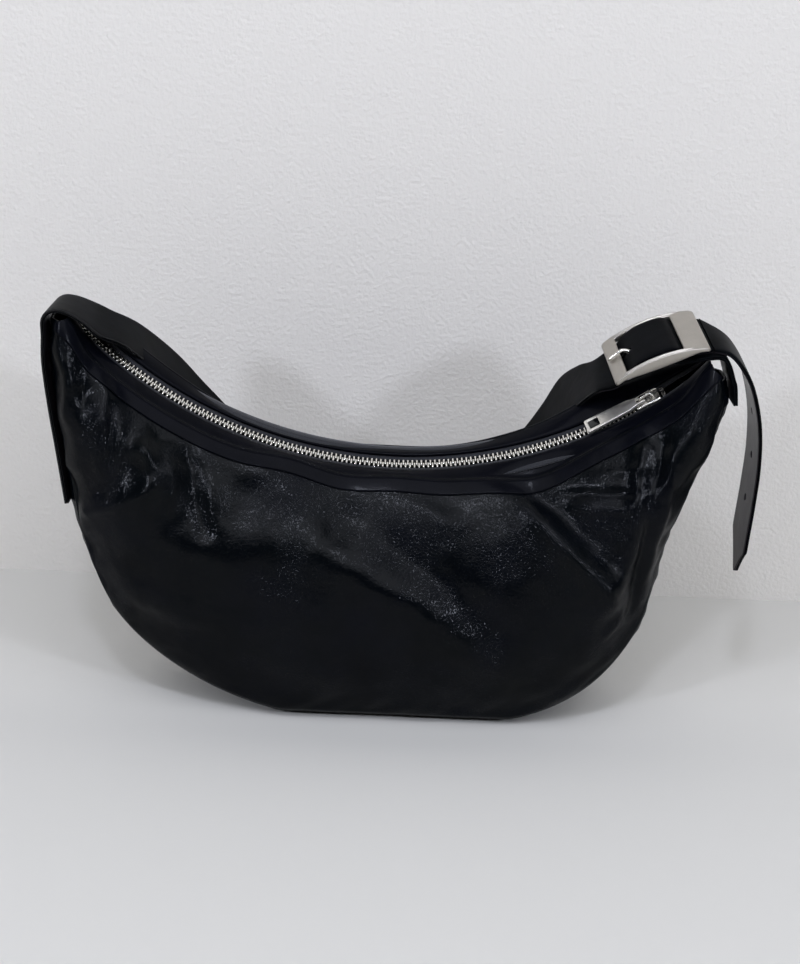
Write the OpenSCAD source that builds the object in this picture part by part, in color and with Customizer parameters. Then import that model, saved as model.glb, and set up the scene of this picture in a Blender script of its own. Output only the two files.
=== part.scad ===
/* [Bag body] */
// Width of the bag across its two tips
bag_w = 372; // [340:1:430]
// Height of the zip's lowest point above the base
bag_h = 141; // [110:1:180]
// Depth of the bag across its belly
bag_d = 98; // [80:1:120]
// Width of the gusset at the middle of the base
gusset_w = 70; // [50:1:84]
// Thickness of the panel leather
leather_t = 1.6; // [1.2:0.1:2.4]
// Thickness of the lining cloth
lining_t = 0.7; // [0.5:0.1:1.2]

/* [Mouth and zip] */
// Width of the mouth between the two ends of its facings
mouth_w = 344; // [320:1:380]
// Depth of the mouth across both facings
mouth_d = 30; // [26:1:36]
// Angle by which the mouth leans to the front
mouth_lean = 26; // [16:1:28]
// Thickness of the facing leather
facing_t = 1.4; // [1:0.1:2]
// Distance from one tooth to the next in the same row
tooth_pitch = 2.5; // [2:0.1:4]
// Length of a tooth along the zip
tooth_l = 1.05; // [0.8:0.05:1.2]
// Width of the closed row of teeth
chain_w = 6; // [5:0.1:7]
// Height of a tooth
tooth_h = 2.4; // [2:0.1:3]
// Thickness of the zip tape
tape_t = 0.8; // [0.5:0.1:1]

/* [Slider and pull] */
// Length of the slider along the zip
slider_l = 14; // [11:0.5:16]
// Thickness of each slider plate
slider_plate_t = 1.2; // [1:0.1:1.6]
// Height of the bridge above the slider's top plate
bridge_h = 3.9; // [3.5:0.1:5]
// Length of the pull's plate
pull_l = 30; // [20:1:32]
// Width of the pull's plate
pull_w = 9.6; // [7:0.1:10]
// Thickness of the pull's plate
pull_t = 1.8; // [1.4:0.1:2]

/* [Strap] */
// Width of the strap
strap_w = 35; // [28:1:36]
// Thickness of the strap's outer leather
strap_t = 1.5; // [1.2:0.1:1.8]
// Thickness of the strap's backing leather
backing_t = 0.9; // [0.6:0.1:1]
// How far the strap hangs behind the bag's middle plane
strap_back = 66; // [64:1:80]
// Height of the tail's end above the base
tail_z = 86; // [60:1:120]
// Diameter of the strap's holes
hole_d = 4; // [3.6:0.1:5]

/* [Buckle] */
// Length of the buckle frame along the strap
buckle_l = 53; // [50:1:56]
// Width of the buckle frame across the strap
buckle_w = 43; // [43:1:48]
// Width of the side rails
rail_w = 3.4; // [2.5:0.1:3.6]
// Thickness of the bars at the two ends of the frame
bar_t = 2.5; // [2:0.1:2.8]
// Length along the strap of the bar that the prong rests on
rest_bar_l = 8; // [6:0.5:9]
// Length along the strap of the bar that the tail leaves under
tail_bar_l = 13; // [10:0.5:14]
// Height of the frame's arch
arch_h = 5; // [4:0.5:6]
// Diameter of the centre bar
centre_bar_d = 3; // [2.6:0.1:3.2]
// Diameter of the prong
prong_d = 2.2; // [1.8:0.1:2.4]

/* [Hidden] */

// Clearances, and one overrun for every cut
sew_gap = 0.3;
lining_gap = 0.7;
run_gap = 0.25;
flex_gap = 0.4;
frame_gap = 1.2;
glue_gap = 0.05;
over = 1;
round_fn = 40;

// The mouth is an arc whose centre lies above the bag
arc_left = 47.5;
arc_right = 44;
zip_r = mouth_w / (sin(arc_left) + sin(arc_right));
zip_cx = mouth_w / 2 - zip_r * sin(arc_right);
zip_cz = bag_h + zip_r;
mouth_half = mouth_d / 2;
half_w = bag_w / 2;
tip_h = zip_cz - zip_r * cos(arc_left);
belly_d = bag_d / 2 - (mouth_half + gusset_w / 2) / 2;
belly_rise_share = 0.9;

// Each station of the body from the left tip to the right one: the mouth's share of its arc,
// the outline's shares of half the width and of the tip's height, and the shares of belly and gusset
station_shares = [
  [-1, -0.985, 1, 0.12, 0.45],
  [-0.975, -0.995, 0.89, 0.26, 0.46],
  [-0.91, -0.968, 0.69, 0.42, 0.5],
  [-0.81, -0.905, 0.45, 0.62, 0.6],
  [-0.67, -0.79, 0.235, 0.82, 0.74],
  [-0.485, -0.56, 0.082, 0.95, 0.9],
  [-0.25, -0.27, -0.004, 1, 1],
  [0.01, 0.054, -0.012, 1, 1],
  [0.295, 0.385, -0.004, 1, 1],
  [0.51, 0.63, 0.088, 0.95, 0.92],
  [0.675, 0.785, 0.26, 0.84, 0.8],
  [0.79, 0.842, 0.475, 0.7, 0.64],
  [0.89, 0.922, 0.68, 0.52, 0.52],
  [0.965, 0.982, 0.84, 0.32, 0.47],
  [1, 0.972, 0.915, 0.14, 0.45]
];
body_steps = 48;
wall_steps = 13;

function clamp01(t) = min(max(t, 0), 1);
function mix(a, b, t) = a + (b - a) * t;
function unit(v) = v / norm(v);

// A smooth curve through the rows of a table, at t from 0 to 1
function curve_at(rows, t) =
  let (
    last = len(rows) - 1,
    i = min(floor(clamp01(t) * last), last - 1),
    f = clamp01(t) * last - i,
    p = rows[max(i - 1, 0)],
    q = rows[i],
    r = rows[i + 1],
    s = rows[min(i + 2, last)]
  )
  (2 * q + (r - p) * f + (2 * p - 5 * q + 4 * r - s) * f * f + (3 * q - p - 3 * r + s) * f * f * f) / 2;

function station(t) = curve_at(station_shares, t);
function arc_of(share) = share * (share < 0 ? arc_left : arc_right);

// The mouth leans to the front, and the lean fades out over some degrees at its two ends.
// side is 1 for the front; the back is built as a front that leans the other way, and mirrored
lean_left = 6;
lean_right = 7;
function eased(t) = let (c = clamp01(t)) c * c * (3 - 2 * c);
function lean_at(a) = mouth_lean * eased((a + arc_left) / lean_left) * eased((arc_right - a) / lean_right);
function mouth_place(a, b, c, side) =
  let (lean = side * lean_at(a), r = zip_r - b * sin(lean) - c * cos(lean))
  [zip_cx + r * sin(a), b * cos(lean) - c * sin(lean), zip_cz - r * cos(a)];
function mouth_edge(t, side) = mouth_place(arc_of(station(t)[0]), -mouth_half, facing_t, side);
function xz_of(p) = [p[0], p[2]];

function outline_xz(t) = let (s = station(t)) [s[1] * bag_w / 2, max(0, s[2] * tip_h)];
function outline_dir(t) =
  let (d = 1 / body_steps / 2)
  unit(outline_xz(clamp01(t + d)) - outline_xz(clamp01(t - d)));
function outward(t) = let (d = outline_dir(t)) [d[1], -d[0]];
function gusset_half(t) = station(t)[4] * gusset_w / 2;

// The main folds of the walls: height as a share of the bag's depth (a crease is negative), width as
// a share of half the bag's width, and the fold's line in shares of that half and of the tip's height
front_fold_shares = [
  [0.063, 0.046, [[0.28, 0.653], [0.387, 0.607], [0.527, 0.516], [0.64, 0.434], [0.656, 0.397]]],
  [-0.053, 0.04, [[0.387, 0.635], [0.532, 0.557], [0.651, 0.484]]],
  [0.043, 0.036, [[-0.704, 0.699], [-0.645, 0.644], [-0.667, 0.607], [-0.849, 0.539]]],
  [-0.031, 0.032, [[-0.731, 0.667], [-0.806, 0.598]]],
  [0.038, 0.036, [[-0.801, 0.877], [-0.812, 0.776], [-0.806, 0.662]]],
  [0.024, 0.036, [[-0.704, 0.694], [-0.565, 0.69], [-0.355, 0.649]]],
  [-0.033, 0.03, [[-0.57, 0.685], [-0.511, 0.512]]],
  [0.031, 0.075, [[-0.215, 0.512], [-0.022, 0.402], [0.118, 0.365], [0.323, 0.206]]],
  [-0.024, 0.064, [[-0.108, 0.539], [0.14, 0.438], [0.344, 0.283]]],
  [-0.037, 0.03, [[0.79, 0.758], [0.758, 0.585], [0.737, 0.347]]],
  [0.035, 0.032, [[0.747, 0.745], [0.72, 0.594], [0.688, 0.438]]]
];
back_fold_shares = [
  [0.041, 0.054, [[-0.645, 0.685], [-0.269, 0.438], [-0.054, 0.402]]],
  [-0.031, 0.048, [[-0.602, 0.713], [-0.215, 0.502], [0, 0.466]]],
  [0.035, 0.038, [[0.796, 0.804], [0.731, 0.557], [0.688, 0.438]]],
  [0.022, 0.054, [[0.591, 0.676], [0.323, 0.46], [0.108, 0.384]]],
  [-0.027, 0.048, [[0.634, 0.63], [0.333, 0.384]]]
];
fold_tail = 1.4;
fold_fade_share = 0.12;
function sum(v, i = 0) = i < len(v) ? v[i] + sum(v, i + 1) : 0;
function fold_place(s) = [s[0] * half_w, s[1] * tip_h];
function gap_to(p, q, x) = norm(x - mix(p, q, clamp01((x - p) * (q - p) / ((q - p) * (q - p)))));
function line_gap(line, x) =
  min([for (i = [0:len(line) - 2]) gap_to(fold_place(line[i]), fold_place(line[i + 1]), x)]);
function fold_height(x, side) =
  sum([
    for (f = side > 0 ? front_fold_shares : back_fold_shares)
      f[0] * bag_d / pow(1 + pow(line_gap(f[2], x) / (f[1] * half_w), 2), fold_tail)
  ]);
function fold_free(v) = eased(v / fold_fade_share) * eased((1 - v) / fold_fade_share);
function wall_y(t, v, edge) =
  mix(edge, gusset_half(t), v) + station(t)[3] * belly_d * sin(180 * pow(v, belly_rise_share));
function wall_point(t, v, grow, side) =
  let (edge = mouth_edge(t, side), xz = mix(xz_of(edge), outline_xz(t), v))
  [xz[0], -wall_y(t, v, -edge[1]) - fold_free(v) * fold_height(xz, side) - grow, xz[1]];

// Triangles of a sheet with thickness: layer 0 lies under layer 1, each a grid of n by m cells
function cell_of(k, i, j, n, m) = (k * (n + 1) + i) * (m + 1) + j;
function two_triangles(a, b, c, d) = [[a, b, c], [a, c, d]];
function sheet_faces(n, m) = [
  for (i = [0:n - 1], j = [0:m - 1])
    each two_triangles(
      cell_of(1, i, j, n, m), cell_of(1, i + 1, j, n, m),
      cell_of(1, i + 1, j + 1, n, m), cell_of(1, i, j + 1, n, m)
    ),
  for (i = [0:n - 1], j = [0:m - 1])
    each two_triangles(
      cell_of(0, i, j, n, m), cell_of(0, i, j + 1, n, m),
      cell_of(0, i + 1, j + 1, n, m), cell_of(0, i + 1, j, n, m)
    ),
  for (i = [0:n - 1])
    each two_triangles(
      cell_of(0, i, 0, n, m), cell_of(0, i + 1, 0, n, m),
      cell_of(1, i + 1, 0, n, m), cell_of(1, i, 0, n, m)
    ),
  for (i = [0:n - 1])
    each two_triangles(
      cell_of(0, i, m, n, m), cell_of(1, i, m, n, m),
      cell_of(1, i + 1, m, n, m), cell_of(0, i + 1, m, n, m)
    ),
  for (j = [0:m - 1])
    each two_triangles(
      cell_of(0, 0, j, n, m), cell_of(1, 0, j, n, m),
      cell_of(1, 0, j + 1, n, m), cell_of(0, 0, j + 1, n, m)
    ),
  for (j = [0:m - 1])
    each two_triangles(
      cell_of(0, n, j, n, m), cell_of(0, n, j + 1, n, m),
      cell_of(1, n, j + 1, n, m), cell_of(1, n, j, n, m)
    )
];

// A wall between two depths. All its layers share their rows: the first and last row lie at the
// mouth and the outline, the others between the trims, so a lining keeps its distance everywhere
function wall_l(t, side) = norm(outline_xz(t) - xz_of(mouth_edge(t, side)));
function wall_row(t, j, side) =
  let (trim = lining_trim / wall_l(t, side))
  j == 0 ? 0 : j == wall_steps ? 1 : mix(trim, 1 - trim, (j - 1) / (wall_steps - 2));
module wall_sheet(inner, outer, end_rows, end_steps, side) {
  points = [
    for (grow = [inner, outer], i = [end_steps:body_steps - end_steps], j = [end_rows:wall_steps - end_rows])
      let (t = i / body_steps)
      wall_point(t, wall_row(t, j, side), grow, side)
  ];
  polyhedron(points, sheet_faces(body_steps - 2 * end_steps, wall_steps - 2 * end_rows));
}

// The strip that follows the outline, between two depths inside it
module outline_sheet(inner, outer, side_trim, end_steps) {
  points = [
    for (depth = [inner, outer], i = [end_steps:body_steps - end_steps], side = [-1, 1])
      let (t = i / body_steps, p = outline_xz(t) - outward(t) * depth)
      [p[0], side * (gusset_half(t) - side_trim), max(depth, p[1])]
  ];
  polyhedron(points, sheet_faces(body_steps - 2 * end_steps, 1));
}

panel_color = "#101319";
module panel(side) {
  wall_sheet(0, leather_t, 0, 0, side);
}
module front_panel() {
  color(panel_color) panel(1);
}
module back_panel() {
  color(panel_color) mirror([0, 1, 0]) panel(-1);
}
module gusset() {
  color("#181c24") outline_sheet(leather_t, 0, 0, 0);
}

lining_end_steps = 6;
lining_depth = leather_t + lining_gap;
lining_trim = 2 * lining_depth;
module lining(side) {
  wall_sheet(-lining_gap - lining_t, -lining_gap, 1, lining_end_steps, side);
}
lining_color = "#2b2d33";
module front_lining() {
  color(lining_color) lining(1);
}
module back_lining() {
  color(lining_color) mirror([0, 1, 0]) lining(-1);
}
module gusset_lining() {
  color(lining_color)
    outline_sheet(lining_depth + lining_t, lining_depth, lining_t + 2 * lining_gap, lining_end_steps);
}

// Places along the mouth: a sheet from end to end, and a spot at one angle
mouth_steps = 66;
module mouth_sheet(columns, low, high, side) {
  points = [
    for (c = [low, high], i = [0:mouth_steps], b = columns)
      mouth_place(mix(-arc_left, arc_right, i / mouth_steps), -b, c, side)
  ];
  polyhedron(points, sheet_faces(mouth_steps, len(columns) - 1));
}
module on_mouth(at, side = 1) {
  translate([zip_cx, 0, zip_cz])
    rotate([0, -at, 0])
      translate([0, 0, -zip_r])
        rotate([side * lean_at(at), 0, 0])
          children();
}
function degrees_of(length) = length / zip_r * 180 / PI;

slider_w = 10;
slider_gap = 0.6;
facing_in = slider_w / 2 + slider_gap;
tape_out = mouth_half - over;

// Facing and tape share the columns where they are sewn together, so their faces meet
tape_columns = [chain_w / 2 + glue_gap, facing_in, tape_out];
facing_columns = [facing_in, tape_out, mouth_half];
facing_color = "#14171e";
module front_facing() {
  color(facing_color) mouth_sheet(facing_columns, 0, facing_t, 1);
}
module back_facing() {
  color(facing_color) mirror([0, 1, 0]) mouth_sheet(facing_columns, 0, facing_t, -1);
}
tape_color = "#0c0d10";
module front_zip_tape() {
  color(tape_color) mouth_sheet(tape_columns, -tape_t, 0, 1);
}
module back_zip_tape() {
  color(tape_color) mirror([0, 1, 0]) mouth_sheet(tape_columns, -tape_t, 0, -1);
}

// The closed slider stands near the right end, and the chain fills the arc up to it
slider_at = 34.5;
tooth_head = 0.9;
half_share = 0.5;
pitch_deg = degrees_of(tooth_pitch);
chain_to = slider_at + degrees_of(slider_l / 2) - pitch_deg;
chain_from = -arc_left + degrees_of(3 * tooth_pitch);
teeth = floor((chain_to - chain_from) / pitch_deg);
tooth_z = -(tape_t + tooth_h) / 2;
module tooth_row(shift, side) {
  for (i = [0:teeth - 1])
    on_mouth(chain_from + (i + shift) * pitch_deg, side)
      translate([-tooth_l / 2, -chain_w / 2, tooth_z])
        cube([tooth_l, chain_w / 2 + tooth_head, tooth_h]);
}
metal_color = "#c9cac8";
module front_zip_teeth() {
  color(metal_color) tooth_row(0, 1);
}
module back_zip_teeth() {
  color(metal_color) mirror([0, 1, 0]) tooth_row(half_share, -1);
}
stop_l = 2 * tooth_l;
module zip_bottom_stop() {
  color(metal_color)
    on_mouth(chain_from - pitch_deg - degrees_of(stop_l) / 2)
      translate([-stop_l / 2, -chain_w / 2, tooth_z])
        cube([stop_l, chain_w, tooth_h]);
}
module zip_top_stops() {
  color(metal_color)
    for (side = [1, -1])
      mirror([0, (1 - side) / 2, 0])
        on_mouth(slider_at + degrees_of(slider_l / 2 + run_gap + stop_l), side)
          translate([-stop_l / 2, -chain_w / 2, tooth_z])
            cube([stop_l, (chain_w - tooth_head) / 2, tooth_h]);
}

// The slider: two plates with flanges, and a bridge that holds the pull
tooth_top = tooth_z + tooth_h;
plate_low = tooth_top + run_gap;
plate_top = plate_low + slider_plate_t;
flange_w = (slider_w - chain_w) / 2 - run_gap;
slider_round = slider_w / 5;
module slider_outline() {
  hull()
    for (x = [-1, 1], y = [-1, 1])
      translate([x * (slider_l / 2 - slider_round), y * (slider_w / 2 - slider_round)])
        circle(slider_round, $fn = round_fn);
}
module slider_plate() {
  translate([0, 0, plate_low])
    linear_extrude(slider_plate_t)
      slider_outline();
  for (side = [-1, 1])
    translate([-slider_l / 2 + slider_round, side * (slider_w - flange_w) / 2 - flange_w / 2, run_gap])
      cube([slider_l - 2 * slider_round, flange_w, plate_low - run_gap + slider_plate_t / 2]);
}
module slider_top_plate() {
  color(metal_color) on_mouth(slider_at) slider_plate();
}
module slider_bottom_plate() {
  color(metal_color)
    on_mouth(slider_at)
      translate([0, 0, -tape_t])
        mirror([0, 0, 1])
          slider_plate();
}

bridge_l = 8.4;
bridge_w = 2.2;
bridge_wall = 1.2;
bridge_round = bridge_wall;
module bridge_outline() {
  translate([-bridge_l / 2, 0])
    square([bridge_l, bridge_h - bridge_round]);
  translate([-bridge_l / 2 + bridge_round, 0])
    square([bridge_l - 2 * bridge_round, bridge_h]);
  for (side = [-1, 1])
    translate([side * (bridge_l / 2 - bridge_round), bridge_h - bridge_round])
      circle(bridge_round, $fn = round_fn);
}
module slider_bridge() {
  color(metal_color)
    on_mouth(slider_at)
      translate([0, bridge_w / 2, plate_top])
        rotate([90, 0, 0])
          linear_extrude(bridge_w)
            difference() {
              bridge_outline();
              translate([-bridge_l / 2 + bridge_wall, -over])
                square([bridge_l - 2 * bridge_wall, bridge_h - bridge_wall + over]);
            }
}

// The pull turns on its eye bar, which lies in the bridge
eye_d = 1.6;
eye_x = -bridge_l / 2 + bridge_wall + eye_d / 2 + 2 * run_gap;
eye_z = plate_top + eye_d / 2 + 2 * run_gap;
pull_rest = 4;
arm_w = 1.2;
arm_in = bridge_w / 2 + run_gap;
arm_l = bridge_l / 2;
inlay_share = 0.62;
inlay_side = pull_w * inlay_share;
inlay_depth = pull_t / 2;
module on_pull() {
  on_mouth(slider_at)
    translate([eye_x, 0, eye_z])
      rotate([0, pull_rest, 0])
        children();
}
module pull_outline() {
  hull() {
    translate([-arm_l, -arm_in - arm_w])
      square([over, 2 * (arm_in + arm_w)]);
    translate([-arm_l - over, -pull_w / 2])
      square([over / 2, pull_w]);
  }
  translate([-arm_l - pull_l, -pull_w / 2])
    square([pull_l - over / 2, pull_w]);
}
module inlay_outline() {
  translate([-arm_l - pull_l + pull_w / 2, 0])
    square([inlay_side, inlay_side], center = true);
}
module pull_tab() {
  color(metal_color)
    on_pull()
      difference() {
        union() {
          translate([0, 0, -pull_t / 2])
            linear_extrude(pull_t)
              pull_outline();
          rotate([90, 0, 0])
            cylinder(d = eye_d, h = 2 * (arm_in + arm_w), center = true, $fn = round_fn);
          for (side = [-1, 1])
            translate([-arm_l, side * (arm_in + arm_w / 2) - arm_w / 2, -eye_d / 2])
              cube([arm_l, arm_w, eye_d]);
        }
        translate([0, 0, pull_t / 2 - inlay_depth])
          linear_extrude(inlay_depth + over)
            inlay_outline();
      }
}
module pull_inlay() {
  color("#08090b")
    on_pull()
      translate([0, 0, pull_t / 2 - inlay_depth])
        linear_extrude(inlay_depth - run_gap)
          inlay_outline();
}

// A strip of leather along a route. A row holds a point and the direction of the strip's width
function route_point(rows, t) = let (r = curve_at(rows, t)) [r[0], r[1], r[2]];
function route_width(rows, t) = let (r = curve_at(rows, t)) [r[3], r[4], r[5]];
function route_dir(rows, t) =
  let (d = 1 / len(rows) / 8)
  unit(route_point(rows, clamp01(t + d)) - route_point(rows, clamp01(t - d)));
module strip(rows, width, low, high, steps, end_width) {
  points = [
    for (lift = [low, high], i = [0:steps], side = [1, -1])
      let (
        t = i / steps,
        across = unit(route_width(rows, t)),
        up = unit(cross(route_dir(rows, t), across)),
        half = mix(width, is_undef(end_width) ? width : end_width, t) / 2
      )
      route_point(rows, t) + across * side * half + up * lift
  ];
  polyhedron(points, sheet_faces(steps, 1));
}

// The band that carries on from the gusset's left side over the tip
seat = backing_t + sew_gap;
function on_outline(t, lift) =
  let (p = outline_xz(t) + outward(t) * lift)
  [p[0], 0, p[1], 0, 1, 0];
left_over_shares = [
  [-0.998, 0, 1.006, 0, 1, 0],
  [-0.972, 0, 1.03, 0, 1, 0],
  [-0.925, 0, 1.032, 0, 1, 0],
  [-0.875, 0.02, 1.012, 0, 1, 0.05],
  [-0.828, 0.045, 0.985, 0, 1, 0.15],
  [-0.79, 0.12, 0.965, 0, 0.97, 0.25]
];
function strap_row(s) = [s[0] * (s[0] < 0 ? half_w : mouth_w / 2), s[1] * strap_back, s[2] * tip_h, s[3], s[4], s[5]];
left_band_shares = [0.19, 0.15, 0.11, 0.07, 0.035];
left_end_rows = concat(
  [for (t = left_band_shares) on_outline(t, seat)],
  [for (s = left_over_shares) strap_row(s)]
);

// The strap's route behind the bag, from the left tip to the buckle: shares of half the width
// (of half the mouth's width on the right, where the slider is near), of the strap's reach behind the bag and of the tip's height, and the direction of its width
strap_shares = [
  [-0.875, 0.02, 1.012, 0, 1, 0.05],
  [-0.828, 0.045, 0.985, 0, 1, 0.15],
  [-0.757, 0.23, 0.954, 0, 0.98, 0.18],
  [-0.667, 0.605, 0.878, 0, 0.9, 0.42],
  [-0.57, 0.785, 0.712, 0, 0.87, 0.5],
  [-0.44, 0.915, 0.566, 0, 0.87, 0.5],
  [-0.24, 0.975, 0.475, 0, 0.87, 0.5],
  [-0.02, 1, 0.447, 0, 0.87, 0.5],
  [0.1838, 0.985, 0.457, 0, 0.87, 0.5],
  [0.3623, 0.955, 0.503, 0, 0.87, 0.5],
  [0.4596, 0.875, 0.59, 0, 0.87, 0.5],
  [0.5245, 0.785, 0.678, 0, 0.87, 0.5],
  [0.5753, 0.645, 0.772, 0, 0.88, 0.46],
  [0.6218, 0.36, 0.842, 0, 0.95, 0.32],
  [0.6575, 0.16, 0.88, 0, 0.98, 0.2],
  [0.6878, 0.08, 0.901, 0, 0.99, 0.16]
];
strap_rows = [for (s = strap_shares) strap_row(s)];
strap_steps = 60;

// The strap swings about the line through the points where it leaves the tip and the buckle
last_row = len(strap_rows) - 1;
swing_left = route_point(strap_rows, 1 / last_row);
swing_right = route_point(strap_rows, 1 - 1 / last_row);
swing_dir = unit(swing_right - swing_left);
swing_l = norm(swing_right - swing_left);
swing_lean = atan2(swing_dir[2], norm([swing_dir[0], swing_dir[1]]));
swing_turn = atan2(swing_dir[1], swing_dir[0]);
reach = strap_back * 3;
module swing_span(from, to) {
  translate(swing_left)
    rotate([0, -swing_lean, swing_turn])
      translate([from, -reach / 2, -reach / 2])
        cube([to - from, reach, reach]);
}
strap_color = "#12151c";
backing_color = "#1d1c20";
module main_span() {
  swing_span(flex_gap / 2, swing_l - flex_gap / 2);
}
module strap_main() {
  color(strap_color)
    intersection() {
      strip(strap_rows, strap_w, 0, strap_t, strap_steps, run_w);
      main_span();
    }
}
module strap_main_backing() {
  color(backing_color)
    intersection() {
      strip(strap_rows, strap_w, -backing_t, -glue_gap, strap_steps, run_w);
      main_span();
    }
}
left_steps = 27;
module left_end(low, high) {
  intersection() {
    strip(left_end_rows, strap_w, low, high, left_steps);
    swing_span(-reach, -flex_gap / 2);
  }
}
module strap_left_end() {
  color(strap_color) left_end(0, strap_t);
}
module strap_left_backing() {
  color(backing_color) left_end(-backing_t, -glue_gap);
}

// The buckle's own axes: its origin is the top of the arch, +X runs up the strap towards the tail
buckle_share = [0.8165, 0.05, 0.993];
buckle_slope = 24;
buckle_roll = 15;
buckle_at = [buckle_share[0] * mouth_w / 2, buckle_share[1] * strap_back, buckle_share[2] * tip_h];
module on_buckle() {
  translate(buckle_at)
    rotate([buckle_roll, -buckle_slope, 0])
      children();
}
function turn_x(p, a) = [p[0], p[1] * cos(a) - p[2] * sin(a), p[1] * sin(a) + p[2] * cos(a)];
function turn_y(p, a) = [p[0] * cos(a) + p[2] * sin(a), p[1], p[2] * cos(a) - p[0] * sin(a)];
function from_buckle(p) = turn_y(turn_x(p, buckle_roll), -buckle_slope);
function buckle_row(x, z) =
  let (p = buckle_at + from_buckle([x, 0, z]), w = from_buckle([0, 1, 0]))
  [p[0], p[1], p[2], w[0], w[1], w[2]];

// The arched frame: its top is an arc over the frame's length, and its rails are deeper at the middle
arch_r = (buckle_l * buckle_l / 4 + arch_h * arch_h) / arch_h / 2;
rail_h = bar_t + arch_h - bar_t / 2;
function arch_z(x) = sqrt(arch_r * arch_r - x * x) - arch_r;
arch_steps = 24;
function arch_x(i) = mix(-buckle_l / 2, buckle_l / 2, i / arch_steps);
module frame_side(low) {
  polygon(concat(
    [for (i = [0:arch_steps]) [arch_x(i), arch_z(arch_x(i))]],
    [for (i = [arch_steps:-1:0]) [arch_x(i), low(arch_x(i))]]
  ));
}
module cut_across(width) {
  translate([0, width / 2, 0])
    rotate([90, 0, 0])
      linear_extrude(width)
        children();
}
bar_low = function (x) arch_z(x) - bar_t;
rail_low = function (x) min(arch_z(x) - bar_t, -rail_h + pow(x / buckle_l * 2, 2) * bar_t / 2);
module buckle_frame() {
  window_l = buckle_l - rest_bar_l - tail_bar_l;
  color(metal_color)
    on_buckle() {
      difference() {
        cut_across(buckle_w)
          frame_side(bar_low);
        translate([rest_bar_l - buckle_l / 2, -buckle_w / 2 - over, -buckle_l])
          cube([window_l, buckle_w + 2 * over, 2 * buckle_l]);
      }
      for (side = [-1, 1])
        translate([0, side * (buckle_w - rail_w) / 2, 0])
          cut_across(rail_w)
            frame_side(rail_low);
    }
}

wrap_t = 1.2;
wrap_gap = 0.15;
centre_bar_z = -rail_h + centre_bar_d / 2 + bar_t / 10;
module along_bar(length, diameter) {
  translate([0, 0, centre_bar_z])
    rotate([90, 0, 0])
      cylinder(d = diameter, h = length, center = true, $fn = round_fn);
}
module buckle_centre_bar() {
  color(metal_color)
    on_buckle()
      along_bar(buckle_w - 2 * rail_w, centre_bar_d);
}

// The strap goes under the first bar, over the centre bar and under the second
strap_all_t = strap_t + backing_t;
wrap_d = centre_bar_d + 2 * (wrap_gap + wrap_t);
run_z = centre_bar_z + wrap_d / 2 + wrap_gap + backing_t;
run_clear = strap_t + frame_gap;
rail_gap = 0.6;
run_w = buckle_w - 2 * (rail_w + rail_gap);
rest_x = buckle_l / 2 - rest_bar_l;
tail_x = buckle_l / 2 - tail_bar_l;
end_x = buckle_l / 2 + over;
function under_bar(x) = arch_z(min(abs(x), buckle_l / 2)) - bar_t - run_clear;
run_slope = (under_bar(end_x) - under_bar(tail_x)) / (end_x - tail_x);
rest_dip_share = 0.3;
tail_dip_share = 0.36;
run_rows = concat(
  [for (i = [last_row - 2, last_row - 1]) strap_rows[i]],
  [
    buckle_row(-end_x, under_bar(end_x)),
    buckle_row(-rest_x, under_bar(rest_x) - run_gap),
    buckle_row(-rest_x / 2, mix(run_z, under_bar(rest_x), rest_dip_share)),
    buckle_row(0, run_z),
    buckle_row(tail_x / 2, mix(run_z, under_bar(tail_x), tail_dip_share)),
    buckle_row(tail_x, under_bar(tail_x) - 3 * run_gap),
    buckle_row((tail_x + end_x) / 2, under_bar((tail_x + end_x) / 2) - 2 * run_gap),
    buckle_row(end_x + over, under_bar(end_x) - run_gap)
  ]
);
run_steps = 36;
slot_w = hole_d;
module buckle_span(from, to) {
  on_buckle()
    translate([from, -reach / 2, -reach / 2])
      cube([to - from, reach, reach]);
}
module prong_slot() {
  on_buckle()
    translate([-rest_x - over, -slot_w / 2, -buckle_l])
      cube([rest_x + over + wrap_d / 2 + wrap_gap, slot_w, 2 * buckle_l]);
}
module buckle_run(low, high) {
  difference() {
    intersection() {
      strip(run_rows, run_w, low, high, run_steps);
      swing_span(swing_l + flex_gap / 2, swing_l + reach);
      buckle_span(-reach, end_x);
    }
    prong_slot();
  }
}
module strap_buckle_run() {
  color(strap_color) buckle_run(0, strap_t);
}
module strap_buckle_backing() {
  color(backing_color) buckle_run(-backing_t, -glue_gap);
}

// The tail hangs beside the right tip. Shares of the buckle's length from its middle, and of the way
// from the tail's end up to the tip
tail_shares = [
  [0.737, 0.985],
  [0.877, 0.93],
  [1.007, 0.84],
  [1.112, 0.69],
  [1.151, 0.52],
  [1.141, 0.34],
  [1.116, 0.16],
  [1.105, 0]
];
tail_turn_share = 0.1;
tail_rows = concat(
  [buckle_row(end_x, under_bar(end_x) - run_gap)],
  [for (s = tail_shares) [buckle_at[0] + s[0] * buckle_l, 0, mix(tail_z, tip_h, s[1]), 0, 1, tail_turn_share]]
);
tail_steps = 32;
tail_point_share = 0.55;
tail_point_l = run_w * tail_point_share;
hole_gap = 25;
module tail_cut() {
  for (side = [0, 1])
    mirror([0, side, 0])
      translate([buckle_at[0] + buckle_l / 2, 0, tail_z - over])
        rotate([atan2(tail_point_l, run_w / 2), 0, 0])
          translate([0, -over, -run_w])
            cube([buckle_l, run_w * 2, run_w]);
}
module tail_holes() {
  for (i = [1:3])
    translate([buckle_at[0] + buckle_l / 2, 0, tail_z + tail_point_l + i * hole_gap])
      rotate([0, 90, 0])
        cylinder(d = hole_d, h = buckle_l, $fn = round_fn);
}
module tail_sheet(low, high) {
  difference() {
    intersection() {
      strip(tail_rows, run_w, low, high, tail_steps);
      buckle_span(end_x + flex_gap, reach);
    }
    tail_cut();
    tail_holes();
  }
}
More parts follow.
